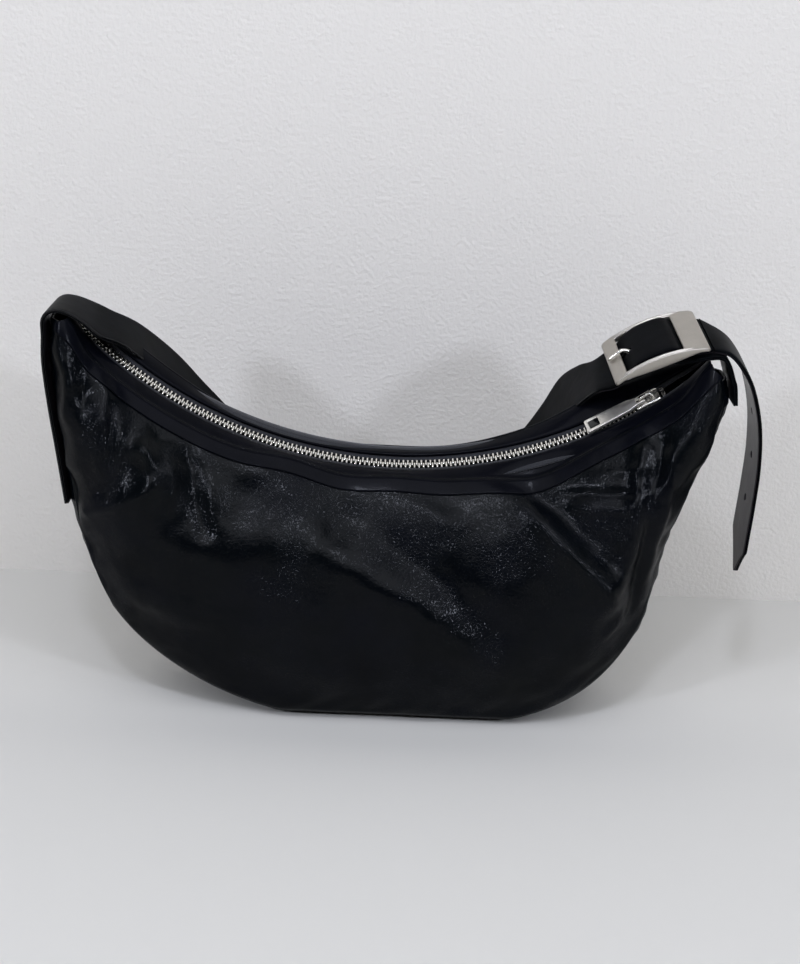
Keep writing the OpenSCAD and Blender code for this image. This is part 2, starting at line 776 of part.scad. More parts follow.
module strap_tail() {
  color(strap_color) tail_sheet(0, strap_t);
}
module strap_tail_backing() {
  color(backing_color) tail_sheet(-backing_t, -glue_gap);
}

// The chape wraps the centre bar and runs under the strap to the right tip, where it is sewn down
chape_w = run_w - over;
chape_t = 2 * wrap_t;
chape_drop = chape_t + strap_all_t + run_gap;
chape_tip_shares = [0.955, 0.975, 0.06];
chape_end_shares = [1, 0.97, 0.94];
function half_rolled(r) = [r[0], r[1] / 2, r[2], 0, 1, r[5] / 2];
chape_rows = concat(
  [
    buckle_row(centre_bar_d / 2, centre_bar_z - wrap_d / 2 + wrap_t),
    buckle_row(tail_x, under_bar(tail_x) - chape_drop),
    half_rolled(buckle_row(end_x - tail_bar_l / 4, under_bar(end_x) - chape_drop))
  ],
  [let (s = chape_tip_shares) [s[0] * half_w, 0, s[1] * tip_h, 0, 1, s[2]]],
  [for (t = chape_end_shares) on_outline(t, seat + wrap_t)]
);
chape_steps = 24;
module chape() {
  color(strap_color)
    difference() {
      union() {
        strip(chape_rows, chape_w, -wrap_t, wrap_t, chape_steps);
        on_buckle() along_bar(chape_w, wrap_d);
      }
      on_buckle() along_bar(buckle_w, centre_bar_d + 2 * wrap_gap);
      prong_slot();
    }
}

// The prong has a ring on the centre bar and rests on the first bar
ring_w = slot_w - 4 * run_gap;
ring_d = wrap_d;
prong_knee = [over - rest_x, arch_z(rest_x) + prong_d / 2 + 2 * run_gap];
prong_end_x = -buckle_l / 2 + rest_bar_l / 5;
prong_end = [prong_end_x, arch_z(prong_end_x) + prong_d / 2 + 2 * run_gap];
module pin_between(p, q) {
  translate([p[0], 0, p[1]])
    rotate([0, atan2(q[0] - p[0], q[1] - p[1]), 0])
      cylinder(d = prong_d, h = norm(q - p), $fn = round_fn);
  translate([q[0], 0, q[1]])
    sphere(d = prong_d, $fn = round_fn);
}
module buckle_prong() {
  color(metal_color)
    on_buckle()
      difference() {
        union() {
          along_bar(ring_w, ring_d);
          pin_between([0, centre_bar_z], prong_knee);
          pin_between(prong_knee, prong_end);
        }
        along_bar(buckle_w, centre_bar_d + wrap_gap);
      }
}

front_panel();
back_panel();
gusset();
front_lining();
back_lining();
gusset_lining();
front_facing();
back_facing();
front_zip_tape();
back_zip_tape();
front_zip_teeth();
back_zip_teeth();
zip_bottom_stop();
zip_top_stops();
slider_top_plate();
slider_bottom_plate();
slider_bridge();
pull_tab();
pull_inlay();
strap_left_end();
strap_left_backing();
strap_main();
strap_main_backing();
strap_buckle_run();
strap_buckle_backing();
strap_tail();
strap_tail_backing();
chape();
buckle_frame();
buckle_centre_bar();
buckle_prong();
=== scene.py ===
# %% [markdown]
# A crescent shoulder bag in crackled black patent leather. It stands on a pale table, its strap
# has dropped behind it, and the strap's tail hangs out of an arched buckle at the right tip.
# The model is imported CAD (the frame); this script dresses it. Sizes are in metres, and tables
# are in millimetres or in shares, as in the part's source, so a place can be read off the bag.

# %% Load the frame
import bpy
import bmesh
import numpy as np
from mathutils import Matrix, Vector


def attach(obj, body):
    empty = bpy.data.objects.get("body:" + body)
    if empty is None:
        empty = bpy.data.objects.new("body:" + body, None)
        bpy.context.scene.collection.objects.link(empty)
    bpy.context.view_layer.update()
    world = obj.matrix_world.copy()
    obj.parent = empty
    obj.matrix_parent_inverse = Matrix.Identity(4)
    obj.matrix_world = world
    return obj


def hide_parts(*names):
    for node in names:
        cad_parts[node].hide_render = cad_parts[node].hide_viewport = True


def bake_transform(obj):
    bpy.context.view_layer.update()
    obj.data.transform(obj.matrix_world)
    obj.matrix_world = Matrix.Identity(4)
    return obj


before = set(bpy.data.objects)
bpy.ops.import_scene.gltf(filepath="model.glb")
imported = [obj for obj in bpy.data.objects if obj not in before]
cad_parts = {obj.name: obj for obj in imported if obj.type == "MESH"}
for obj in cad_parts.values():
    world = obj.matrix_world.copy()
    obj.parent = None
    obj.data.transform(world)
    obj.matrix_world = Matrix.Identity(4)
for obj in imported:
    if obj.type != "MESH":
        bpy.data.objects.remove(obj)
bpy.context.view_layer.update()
MM = 0.001

# %% [markdown]
# A leather piece is a loft: closed loops of points, one after the other, made a skin, with its two
# ends filled. numpy works the points out as whole arrays, and from_pydata puts them into a mesh.
# All loops of a loft have the same even number of points k, so a fill joins point j to point
# k-1-j, which keeps it in quads. Small parts that come by the hundred share one mesh.


# %% Mesh helpers
def mesh_object(name, points, faces, smooth=True):
    """An object at the origin whose mesh has these points, in mm, and these faces."""
    mesh = bpy.data.meshes.new(name)
    mesh.from_pydata((np.asarray(points, float).reshape(-1, 3) * MM).tolist(), [], faces)
    mesh.shade_smooth() if smooth else mesh.shade_flat()
    mesh.validate()
    obj = bpy.data.objects.new(name, mesh)
    bpy.context.scene.collection.objects.link(obj)
    return obj


def side_quads(n, k):
    """Quads of a skin through n closed loops of k points each."""
    cell = np.arange(n * k).reshape(n, k)
    turned = np.roll(cell, -1, axis=1)
    return np.stack([cell[:-1], cell[1:], turned[1:], turned[:-1]], -1).reshape(-1, 4)


def loft(name, loops):
    """A closed skin through loops, an array (n, k, 3) in mm with k even."""
    n, k = loops.shape[:2]
    j = np.arange(k // 2 - 1)
    lid = np.stack([j, j + 1, k - 2 - j, k - 1 - j], -1)
    faces = np.concatenate([side_quads(n, k), lid, lid[:, ::-1] + (n - 1) * k])
    return mesh_object(name, loops, faces.tolist())


def lofts_in_one(name, points, n, k):
    """One mesh of equal small bodies: each has n loops of k points, with its end loops as lids."""
    faces = side_quads(n, k).tolist() + [list(range(k)), list(range(n * k - 1, (n - 1) * k - 1, -1))]
    starts = range(0, points.size // 3, n * k)
    return mesh_object(name, points, [[start + i for i in face] for start in starts for face in faces])


def shell(name, outer, inner):
    """A sheet with thickness between two grids (n, m, 3) in mm."""
    return loft(name, np.concatenate([outer, inner[:, ::-1]], axis=1))


print("a loft of 3 loops of 4 points has", len(side_quads(3, 4)), "quads on its side")

# %% [markdown]
# A table of places that were measured on the bag has few rows, and a piece needs many points.
# A Catmull-Rom curve goes through every row and is smooth between them, so the measured places
# can stand in the tables as they are.


# %% Directions, angles and curves
def unit(v):
    """Vectors of length 1 in the same directions."""
    return v / np.maximum(np.linalg.norm(v, axis=-1, keepdims=True), 1e-9)


def full_turn(count):
    """Evenly spaced angles of a full turn, in radians."""
    return np.linspace(0, 2 * np.pi, count, endpoint=False)


def rows_at(rows, t):
    """Smooth curve (Catmull-Rom) through the rows of a table, at shares t of its length."""
    rows = np.asarray(rows, float)
    last = len(rows) - 1
    x = np.clip(t, 0, 1) * last
    i = np.minimum(x.astype(int), last - 1)
    f = (x - i)[..., None]
    p, q, r, s = rows[np.maximum(i - 1, 0)], rows[i], rows[i + 1], rows[np.minimum(i + 2, last)]
    return (2 * q + (r - p) * f + (2 * p - 5 * q + 4 * r - s) * f**2 + (3 * q - p - 3 * r + s) * f**3) / 2


print("halfway the curve through 0, 1, 4 and 9 is at", rows_at([[0], [1], [4], [9]], np.array([0.5]))[0, 0])

# %% [markdown]
# A mesh becomes a piece of the bag when it has its material and the body that carries it, and
# the CAD nodes that it stands for are hidden. Modifiers are written into the mesh at once, so
# that the mesh holds its final points.


# %% Dressing and edges
def dress(obj, body, material, slot, *nodes):
    """Gives a piece its material and its body, and hides the CAD nodes that it stands for."""
    obj.data.materials.clear()
    for m in material if isinstance(material, (list, tuple)) else [material]:
        obj.data.materials.append(m)
    if body:
        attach(obj, body)
    if nodes:
        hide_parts(*nodes)
    return obj


def apply_modifiers(obj):
    """Writes the modifiers' result into the mesh, so that the mesh holds the final shape."""
    graph = bpy.context.evaluated_depsgraph_get()
    mesh = bpy.data.meshes.new_from_object(obj.evaluated_get(graph))
    obj.modifiers.clear()
    obj.data = mesh
    return obj


def bevel(obj, width, segments=3, angle=35):
    """Rounds the edges that turn by more than angle degrees, over a width in mm."""
    mod = obj.modifiers.new("bevel", "BEVEL")
    mod.width, mod.segments, mod.limit_method = width * MM, segments, "ANGLE"
    mod.angle_limit = np.radians(angle)
    apply_modifiers(obj)
    obj.data.shade_smooth()
    return obj


# %% [markdown]
# Materials are procedural and read object coordinates, which are metres here, so a pattern of
# 2 mm has a texture scale of 1 / 0.002. Constants sit on the shader's own sockets. One function
# adds a node: it sets what is given as a value, links what is a socket and gives back an output,
# so that one call can stand inside the next. Numbered sockets are those of nodes whose sockets
# share a name: for Mix 0 is the share and 6 and 7 are the colours, for Map Range 0 is the value,
# 1 and 2 are where it comes from, and 3 and 4 where it goes to.


# %% Material helpers
def tone(code):
    """Linear colour from an sRGB hex code."""
    c = np.array([int(code[i:i + 2], 16) for i in (1, 3, 5)]) / 255
    return (*np.where(c <= 0.04045, c / 12.92, ((c + 0.055) / 1.055) ** 2.4), 1)


def per_mm(size_mm):
    """Texture scale at which a pattern is size_mm across: 1 over its size in metres."""
    return 1000 / size_mm


def fill(tree, item, inputs):
    """Sets each named input of a node to its value, or links it where the value is an output."""
    for key, value in inputs.items():
        if isinstance(value, bpy.types.NodeSocket):
            tree.links.new(value, item.inputs[key])
        else:
            item.inputs[key].default_value = value


def add(tree, kind, inputs, out=0, **settings):
    """Adds a node with its settings and inputs, and returns one of its outputs."""
    item = tree.nodes.new("ShaderNode" + kind)
    for key, value in settings.items():
        setattr(item, key, value)
    fill(tree, item, inputs)
    return item.outputs[out]


def new_material(name):
    """A material with one Principled shader, its tree, that shader and the object coordinates."""
    material = bpy.data.materials.new(name)
    material.use_nodes = True
    tree = material.node_tree
    return material, tree, tree.nodes["Principled BSDF"], add(tree, "TexCoord", {}, "Object")


print("white is", tone("#FFFFFF"), "and a pattern of 2 mm has scale", per_mm(2))

# %% [markdown]
# Patent leather is leather under a poured film of varnish. The hide gives a dark, slightly blue
# diffuse base, and the film is the coat: a second, nearly mirror-smooth reflection. On a
# crumpled patent the film breaks into a net of hairline cracks, and between them it is pebbled.
# Both are bump on the coat, in cells of 1.5 and 1.7 mm. The net is deeper where a slow noise says
# that the skin has been bent more, which makes the sparkle patchy.


# %% Patent leather
def crackle(tree, place, cell_mm):
    """Height of a crackled film: flat cells about cell_mm across with sunk, wandering edges."""
    warp = add(tree, "TexNoise", {"Vector": place, "Scale": per_mm(cell_mm) / 3, "Detail": 2}, "Color")
    shift = add(tree, "VectorMath", {0: warp, 3: cell_mm * MM}, operation="SCALE")
    bent = add(tree, "VectorMath", {0: place, 1: shift}, operation="ADD")
    place_and_size = {"Vector": bent, "Scale": per_mm(cell_mm)}
    edge = add(tree, "TexVoronoi", place_and_size, "Distance", feature="DISTANCE_TO_EDGE")
    return add(tree, "MapRange", {0: edge, 1: 0, 2: 0.16})


def make_patent():
    """Crackled film over a dark hide: height = 0.75 pebble + net, the net faint where unworn."""
    material, tree, shader, place = new_material("patent_leather_crackled")
    slow, pebble, crumple, hide = (
        add(tree, "TexNoise", {"Vector": place, "Scale": per_mm(size), "Detail": detail, "Roughness": rough})
        for size, detail, rough in ((34, 3, 0.5), (1.7, 3, 0.55), (5.5, 3, 0.5), (60, 2, 0.5)))
    worn = add(tree, "MapRange", {0: slow, 1: 0.42, 2: 0.68})
    depth = add(tree, "MapRange", {0: worn, 1: 0, 2: 1, 3: 0.1, 4: 0.5})
    net = add(tree, "Math", {0: crackle(tree, place, 1.5), 1: depth}, operation="MULTIPLY")
    height = add(tree, "Math", {0: pebble, 1: 0.75, 2: net}, operation="MULTIPLY_ADD")
    soft = add(tree, "Bump", {"Height": crumple, "Distance": 0.35 * MM, "Strength": 0.5})
    film = add(tree, "Bump", {"Height": height, "Distance": 0.34 * MM, "Strength": 0.8, "Normal": soft})
    blue, green = (add(tree, "Mix", {0: worn, 6: tone(low), 7: tone(high)}, 2, data_type="RGBA")
                   for low, high in (("#020308", "#05060e"), ("#030606", "#070a0c")))
    fill(tree, shader, {
        "Metallic": 0, "Specular IOR Level": 0.02, "Normal": soft,
        "Base Color": add(tree, "Mix", {0: hide, 6: blue, 7: green}, 2, data_type="RGBA"),
        "Roughness": add(tree, "MapRange", {0: pebble, 1: 0.3, 2: 0.7, 3: 0.3, 4: 0.44}),
        "Coat Weight": 0.19, "Coat Roughness": 0.05, "Coat IOR": 1.45, "Coat Normal": film})
    return material


patent = make_patent()
print("film:", patent.name, "with", len(patent.node_tree.nodes), "nodes")

# %% [markdown]
# The strap is cut from a smoother leather, glazed under a hot roller, so its gloss is even and its
# pebble very faint. The facings are the same hide with a little more glaze. The strap's inner
# layer is a lighter split, its cut edges are sealed with paint, the stitches are waxed thread, and
# the window of the pull holds black enamel. All are smooth, dark and not metallic, so one function
# makes them, from two tones, a roughness and the weight of the glaze.


# %% Smooth leather, thread and enamel
def make_smooth_leather(name, low, high, rough, coat):
    """Two tones in slow patches of 14 mm, and a grain of 1.1 mm as a very low bump."""
    material, tree, shader, place = new_material(name)
    grain = add(tree, "TexNoise", {"Vector": place, "Scale": per_mm(1.1), "Detail": 4})
    slow = add(tree, "TexNoise", {"Vector": place, "Scale": per_mm(14), "Detail": 2})
    patches = add(tree, "MapRange", {0: slow, 1: 0.35, 2: 0.65})
    waves = add(tree, "Bump", {"Height": slow, "Distance": 0.6 * MM, "Strength": 0.4})
    normal = add(tree, "Bump", {"Height": grain, "Distance": 0.05 * MM, "Strength": 0.5, "Normal": waves})
    fill(tree, shader, {
        "Metallic": 0, "Roughness": rough, "Specular IOR Level": 0.025, "Normal": normal,
        "Base Color": add(tree, "Mix", {0: patches, 6: tone(low), 7: tone(high)}, 2, data_type="RGBA"),
        "Coat Weight": coat, "Coat Roughness": 0.16, "Coat Normal": normal})
    return material


strap_leather = make_smooth_leather("smooth_glazed_leather", "#040506", "#090b0e", 0.42, 0.01)
facing_leather = make_smooth_leather("facing_leather", "#04050a", "#07080e", 0.42, 0.06)
backing_leather = make_smooth_leather("backing_leather", "#1a181b", "#242124", 0.45, 0.35)
edge_paint = make_smooth_leather("edge_paint", "#050608", "#0b0c0f", 0.35, 0.4)
thread = make_smooth_leather("waxed_thread", "#0b0d13", "#1b1e27", 0.45, 0.2)
enamel = make_smooth_leather("black_enamel", "#040506", "#08090b", 0.12, 1.0)
smooth = (strap_leather, facing_leather, backing_leather, edge_paint, thread, enamel)
print("smooth:", *(material.name for material in smooth))

# %% [markdown]
# Cloth is woven, so its height is two crossed sine waves, one for each direction of its yarns, and
# the weave shows as bump and as a slight change of tone. The yarns of a real tape lie closer than
# the 0.6 to 0.8 mm used here, which is as fine as still shows. The metal is cast zinc or drawn
# brass under nickel: polished on the zip and the prong, satin on the pull, and brushed one way on
# the buckle. Its scratches are drawn about 0.5 mm wide, because real ones are too fine to show.


# %% Cloth and metal
def make_cloth(name, low, high, pitch_mm, rough, across):
    """Plain weave: the larger of two sine waves, along X and along the given axis."""
    material, tree, shader, place = new_material(name)
    yarn = {"Vector": place, "Scale": per_mm(pitch_mm) / 6.283, "Distortion": 0.4}
    warp, weft = (add(tree, "TexWave", yarn, "Fac", bands_direction=axis) for axis in ("X", across))
    weave = add(tree, "Math", {0: warp, 1: weft}, operation="MAXIMUM")
    fill(tree, shader, {
        "Metallic": 0, "Roughness": rough, "Sheen Weight": 0.15,
        "Base Color": add(tree, "Mix", {0: weave, 6: tone(low), 7: tone(high)}, 2, data_type="RGBA"),
        "Normal": add(tree, "Bump", {"Height": weave, "Distance": 0.12 * MM, "Strength": 0.6})})
    return material


def make_metal(name, low, high, rough_low, rough_high, stretch, size_mm, depth_mm):
    """Plated metal: scratches of size_mm, drawn out along one axis by stretch, change its gloss."""
    material, tree, shader, place = new_material(name)
    lined = add(tree, "Mapping", {"Vector": place, "Scale": stretch})
    scratch = add(tree, "TexNoise", {"Vector": lined, "Scale": per_mm(size_mm), "Detail": 4})
    cloudy = add(tree, "TexNoise", {"Vector": place, "Scale": per_mm(9), "Detail": 2})
    fill(tree, shader, {
        "Metallic": 1,
        "Base Color": add(tree, "Mix", {0: cloudy, 6: tone(low), 7: tone(high)}, 2, data_type="RGBA"),
        "Roughness": add(tree, "MapRange", {0: scratch, 1: 0.3, 2: 0.7, 3: rough_low, 4: rough_high}),
        "Normal": add(tree, "Bump", {"Height": scratch, "Distance": depth_mm * MM, "Strength": 0.5})})
    return material


EVEN, BRUSHED = (1, 1, 1), (1, 0.06, 1)
lining_cloth = make_cloth("lining_twill", "#141418", "#22222a", 0.6, 0.85, "Z")
tape_cloth = make_cloth("zip_tape_weave", "#0a0b0f", "#171920", 0.8, 0.8, "Y")
nickel = make_metal("polished_nickel", "#e2e0da", "#efece4", 0.2, 0.3, EVEN, 3, 0.002)
satin_zinc = make_metal("satin_zinc", "#f2eee5", "#f8f5ee", 0.4, 0.48, EVEN, 2, 0.002)
satin_nickel = make_metal("satin_nickel", "#aba69e", "#bab5ad", 0.34, 0.44, BRUSHED, 0.5, 0.006)
print("cloth and metal:", *(m.name for m in (lining_cloth, tape_cloth, nickel, satin_zinc, satin_nickel)))

# %% [markdown]
# The bag's form. The mouth is an arc (the zip has to follow one radius to let its slider run),
# and the outline is a smooth curve through a table of stations from the left tip to the right.
# A wall is a lofted skin between the two: at share v of the way down it stands out by
# half the mouth + v * (half the gusset - half the mouth) + belly * sin(180 * v ** 0.9).
# The front and back seams lie a few mm inside the outline, because the gusset between them is
# crowned like the tread of a soft tyre, so a narrow strip of it shows outside the seam.

# %% The form's sizes and stations
# HALF_W, GUSSET and MOUTH are half widths: of the bag, of the gusset and of the mouth.
HALF_W, DEPTH, GUSSET, BELLY, MOUTH, SEAM_IN = 186, 98, 35, 24, 15, 4.5
MOUTH_W, MOUTH_H, MOUTH_LEAN = 344, 141, 26
LEATHER, SKIN = 1.6, 1.4
ARC_LEFT, ARC_RIGHT = -47.5, 44.0
ZIP_R = MOUTH_W / (np.sin(np.radians(-ARC_LEFT)) + np.sin(np.radians(ARC_RIGHT)))
ZIP_X = MOUTH_W / 2 - ZIP_R * np.sin(np.radians(ARC_RIGHT))
ZIP_Z = MOUTH_H + ZIP_R
TIP_H = ZIP_Z - ZIP_R * np.cos(np.radians(ARC_LEFT))

# Each station has shares of the mouth's arc, half the width, the tips' height, BELLY and GUSSET.
STATION_SHARES = [
    (-1, -0.974, 1, 0.12, 0.45), (-0.975, -0.98, 0.89, 0.26, 0.46), (-0.91, -0.952, 0.69, 0.42, 0.5),
    (-0.81, -0.905, 0.45, 0.62, 0.6), (-0.67, -0.79, 0.235, 0.82, 0.74), (-0.485, -0.56, 0.082, 0.95, 0.9),
    (-0.25, -0.27, -0.004, 1, 1), (0.01, 0.054, -0.012, 1, 1), (0.295, 0.385, -0.004, 1, 1),
    (0.51, 0.63, 0.088, 0.95, 0.92), (0.675, 0.785, 0.26, 0.84, 0.8), (0.79, 0.842, 0.475, 0.7, 0.64),
    (0.89, 0.922, 0.68, 0.52, 0.52), (0.965, 0.982, 0.84, 0.32, 0.47), (1, 0.972, 0.915, 0.14, 0.45)]

# The lips beside the zip rise and sink in waves: height, place along X and width, in mm.
FRONT_LIP = [(4.5, -52, 22), (3, 5, 22), (-6.5, 84, 23)]
BACK_LIP = [(-7.5, -58, 46), (-3.5, 34, 40), (5, 116, 22)]
print(f"zip radius {ZIP_R:.1f} mm, centre ({ZIP_X:.1f}, {ZIP_Z:.1f}), tips at {TIP_H:.1f} mm")

# %% [markdown]
# The mouth as functions. It leans forward as a whole, so a point of it is given by an angle on
# the arc, by b mm back from the zip's middle line and by c mm above it.


# %% The mouth's functions
def smooth_step(x):
    """0 below 0, 1 above 1, and x * x * (3 - 2 x) between."""
    x = np.clip(x, 0, 1)
    return x * x * (3 - 2 * x)


def arc_point(angle, inward=0.0):
    """(x, z) on the mouth's arc at angles in degrees, at a distance in mm towards its centre."""
    a = np.radians(angle)
    return np.stack([ZIP_X + (ZIP_R - inward) * np.sin(a), ZIP_Z - (ZIP_R - inward) * np.cos(a)], -1)


def lean_at(angle):
    """How far the mouth leans to the front, in radians: the same all along, fading at its ends."""
    return np.radians(MOUTH_LEAN) * smooth_step((angle - ARC_LEFT) / 6) * smooth_step((ARC_RIGHT - angle) / 7)


def sag(x, b):
    """The lips' waves, each a bell curve, from 5 mm beside the zip on; b is above 0 on the back."""
    front, back = (sum(height * np.exp(-((x - at) / width) ** 2) for height, at, width in waves)
                   for waves in (FRONT_LIP, BACK_LIP))
    return np.where(b > 0, back, front) * smooth_step((np.abs(b) - 5) / 10)


def mouth_place(angle, b, c, side=1):
    """Point b mm back from the zip's middle line and c mm above it; side -1 leans the other way."""
    lean = side * lean_at(angle)
    x, z = np.moveaxis(arc_point(angle, b * np.sin(lean) + c * np.cos(lean)), -1, 0)
    return np.stack([x, b * np.cos(lean) - c * np.sin(lean) + 0 * x, z + sag(x, b * side)], -1)


def mouth_angle(t):
    """Angle on the mouth's arc at share t of the stations."""
    share = rows_at(STATION_SHARES, t)[..., 0]
    return np.where(share < 0, -share * ARC_LEFT, share * ARC_RIGHT)


print("right end of the mouth's arc at x and z", arc_point(ARC_RIGHT).round(1), "mm")

# %% [markdown]
# The outline and the walls as functions. A wall point is given by two shares: t runs along the
# stations and v from the mouth down to the seam.


# %% The outline's and the walls' functions
def outline(t, inward=0.0):
    """(x, z) on the bag's outline, some mm inside it, and its outward direction."""
    def at(u):
        """The outline's own point: each share times its size, and never below the table."""
        s = rows_at(STATION_SHARES, u)
        return np.stack([s[..., 1] * HALF_W, np.maximum(s[..., 2] * TIP_H, 0)], -1)
    along = unit(at(np.clip(t + 0.008, 0, 1)) - at(np.clip(t - 0.008, 0, 1)))
    out = np.stack([along[..., 1], -along[..., 0]], -1)
    return at(t) - out * np.asarray(inward, float)[..., None], out


def wall_point(t, v, out=0.0, side=1):
    """Point of a wall at shares t along and v down, pushed out by some mm, as if it were the front."""
    top, low = mouth_place(mouth_angle(t), -MOUTH, 1.4, side), outline(t, SEAM_IN * np.ones_like(t))[0]
    xz = top[..., ::2] + (low - top[..., ::2]) * v[..., None]
    s = rows_at(STATION_SHARES, t)
    y = -top[..., 1] + (s[..., 4] * GUSSET + top[..., 1]) * v
    y = y + s[..., 3] * BELLY * np.sin(np.pi * np.clip(v, 0, 1) ** 0.9)
    return np.stack([xz[..., 0], -y - out, np.maximum(xz[..., 1], 1.2)], -1)


def normals_of(points):
    """Unit normals of a grid (n, m, 3), along the cross product of its two directions."""
    return unit(np.cross(np.gradient(points, axis=0), np.gradient(points, axis=1)))


belly_point = wall_point(np.array([0.5]), np.array([0.6]))[0]
print("middle of the front belly at y", round(float(belly_point[1]), 1), "mm")

# %% [markdown]
# The folds. A soft bag that stands on its base sinks into itself: ridges fan out from the two
# tips and from the mouth where the weight pulls, and the belly hangs below a soft crease. Cloth
# simulation could find them, but not the ones in the photograph, so each fold is a line on the
# wall, as seen from the front, with a height (negative for a crease), a width and a tail that
# says how sharp its crest is. The height at distance d is
# height / (1 + (d / width) ** 2) ** tail, so a crest is sharper than a bell curve and its foot
# is wider, like bent leather. The main folds are shares, as in the part's source, and the fine
# ones are in mm. In both tables 1 is the front and -1 the back.

# %% Fold lines
SIDES = ((1, "front"), (-1, "back"))
# Height as a share of DEPTH, width of HALF_W, and points (x, z) as shares of HALF_W and TIP_H.
MAIN_FOLD_SHARES = {
    1: [(0.063, 0.046, [(0.28, 0.653), (0.387, 0.607), (0.527, 0.516), (0.64, 0.434), (0.656, 0.397)]),
        (-0.053, 0.04, [(0.387, 0.635), (0.532, 0.557), (0.651, 0.484)]),
        (0.043, 0.036, [(-0.704, 0.699), (-0.645, 0.644), (-0.667, 0.607), (-0.849, 0.539)]),
        (-0.031, 0.032, [(-0.731, 0.667), (-0.806, 0.598)]),
        (0.038, 0.036, [(-0.801, 0.877), (-0.812, 0.776), (-0.806, 0.662)]),
        (0.024, 0.036, [(-0.704, 0.694), (-0.565, 0.69), (-0.355, 0.649)]),
        (-0.033, 0.03, [(-0.57, 0.685), (-0.511, 0.512)]),
        (0.031, 0.075, [(-0.215, 0.512), (-0.022, 0.402), (0.118, 0.365), (0.323, 0.206)]),
        (-0.024, 0.064, [(-0.108, 0.539), (0.14, 0.438), (0.344, 0.283)]),
        (-0.037, 0.03, [(0.79, 0.758), (0.758, 0.585), (0.737, 0.347)]),
        (0.035, 0.032, [(0.747, 0.745), (0.72, 0.594), (0.688, 0.438)])],
    -1: [(0.041, 0.054, [(-0.645, 0.685), (-0.269, 0.438), (-0.054, 0.402)]),
         (-0.031, 0.048, [(-0.602, 0.713), (-0.215, 0.502), (0, 0.466)]),
         (0.035, 0.038, [(0.796, 0.804), (0.731, 0.557), (0.688, 0.438)]),
         (0.022, 0.054, [(0.591, 0.676), (0.323, 0.46), (0.108, 0.384)]),
         (-0.027, 0.048, [(0.634, 0.63), (0.333, 0.384)])]}
# Height, width and tail, and points (x, z), all in mm but the tail.
FINE_FOLDS = {
    1: [(1.4, 3.0, 1.5, [(-142, 178), (-142, 159), (-141, 138)]),
        (-1.6, 2.6, 1.6, [(-146, 187), (-147, 170), (-146, 142)]),
        (2.4, 15, 1.3, [(52, 143), (73, 133), (98, 113), (119, 95), (122, 87)]),
        (2.4, 14, 1.3, [(-40, 108), (-4, 84), (22, 76), (60, 42)]),
        (2.0, 5, 1.4, [(-128, 176), (-129, 158), (-126, 136), (-128, 118)]),
        (-2.2, 8, 1.4, [(70, 146), (100, 128), (128, 104), (136, 88)]),
        (-1.8, 11, 1.3, [(-20, 128), (14, 100), (50, 82), (80, 60)]),
        (1.8, 6, 1.4, [(150, 150), (138, 126), (134, 104)]),
        (1.2, 2.4, 1.6, [(-142, 186), (-138, 176), (-130, 170)]),
        (1.0, 2.6, 1.6, [(-121, 164), (-113, 171)]),
        (-1.8, 3.0, 1.5, [(-133, 157), (-105, 158), (-85, 151), (-64, 149)]),
        (2.0, 3.4, 1.5, [(-115, 148), (-113, 138), (-114, 122)]),
        (1.4, 5.0, 1.4, [(-97, 145), (-92, 134), (-91, 121), (-86, 110)]),
        (1.5, 7.0, 1.4, [(-14, 136), (-9, 121), (-13, 107)]),
        (-1.1, 7.0, 1.4, [(-30, 134), (-29, 120), (-28, 104)]),
        (1.5, 4.5, 1.4, [(-10, 142), (3, 135), (19, 128), (34, 119)]),
        (-1.2, 3.5, 1.5, [(-6, 147), (8, 141), (24, 134), (40, 126)]),
        (1.6, 6.0, 1.4, [(121, 92), (119, 80), (114, 68)]),
        (-1.8, 2.8, 1.6, [(79, 138), (100, 137), (118, 139), (137, 142)]),
        (1.5, 3.2, 1.5, [(84, 143), (100, 145), (118, 149), (138, 154)]),
        (1.3, 3.0, 1.5, [(98, 130), (115, 131), (134, 134)]),
        (1.6, 3.0, 1.5, [(153, 163), (151, 146), (148, 128), (146, 108), (143, 92)]),
        (1.6, 3.4, 1.5, [(108, 113), (118, 111), (128, 105)]),
        (1.9, 3.6, 1.5, [(130, 80), (127, 70), (121, 60)]),
        (2.0, 3.0, 1.6, [(163, 203), (168, 202), (169, 196), (164, 193)]),
        (-1.8, 2.6, 1.6, [(158, 206), (160, 196), (156, 184)]),
        (1.5, 4.0, 1.5, [(132, 170), (143, 180), (156, 194)]), (-1.5, 3.2, 1.5, [(140, 172), (150, 184)]),
        (1.2, 9.0, 1.3, [(-150, 84), (-128, 70), (-92, 62), (-58, 58)]),
        (-1.4, 8.0, 1.3, [(-150, 98), (-120, 82), (-88, 74), (-56, 70)]),
        (-1.6, 3.2, 1.6, [(-162, 170), (-160, 190), (-164, 204)]),
        (1.8, 3.2, 1.6, [(-168, 168), (-168, 188), (-172, 204)])],
    -1: [(1.8, 4.0, 1.5, [(-152, 188), (-150, 160), (-142, 130)]),
        (-1.6, 3.2, 1.5, [(-145, 184), (-143, 158), (-136, 134)]),
        (-1.5, 4.5, 1.5, [(140, 178), (132, 152), (128, 124)]),
        (1.4, 9.0, 1.3, [(-110, 70), (-60, 56), (0, 50), (70, 56)]),
        (-1.2, 8.0, 1.3, [(-60, 128), (-20, 126), (30, 130), (66, 128)])]}
for side, name in SIDES:
    print(name, "folds:", len(MAIN_FOLD_SHARES[side]), "main and", len(FINE_FOLDS[side]), "fine")

# %% [markdown]
# The folds' heights are summed over the wall's grid. Between the folds, leather is never flat:
# slow waves in random but seeded directions give the sagging, and shorter ones the crumples.


# %% Heights of folds and lumps
MAIN_TAIL, FINE_GAIN = 1.4, 1.25


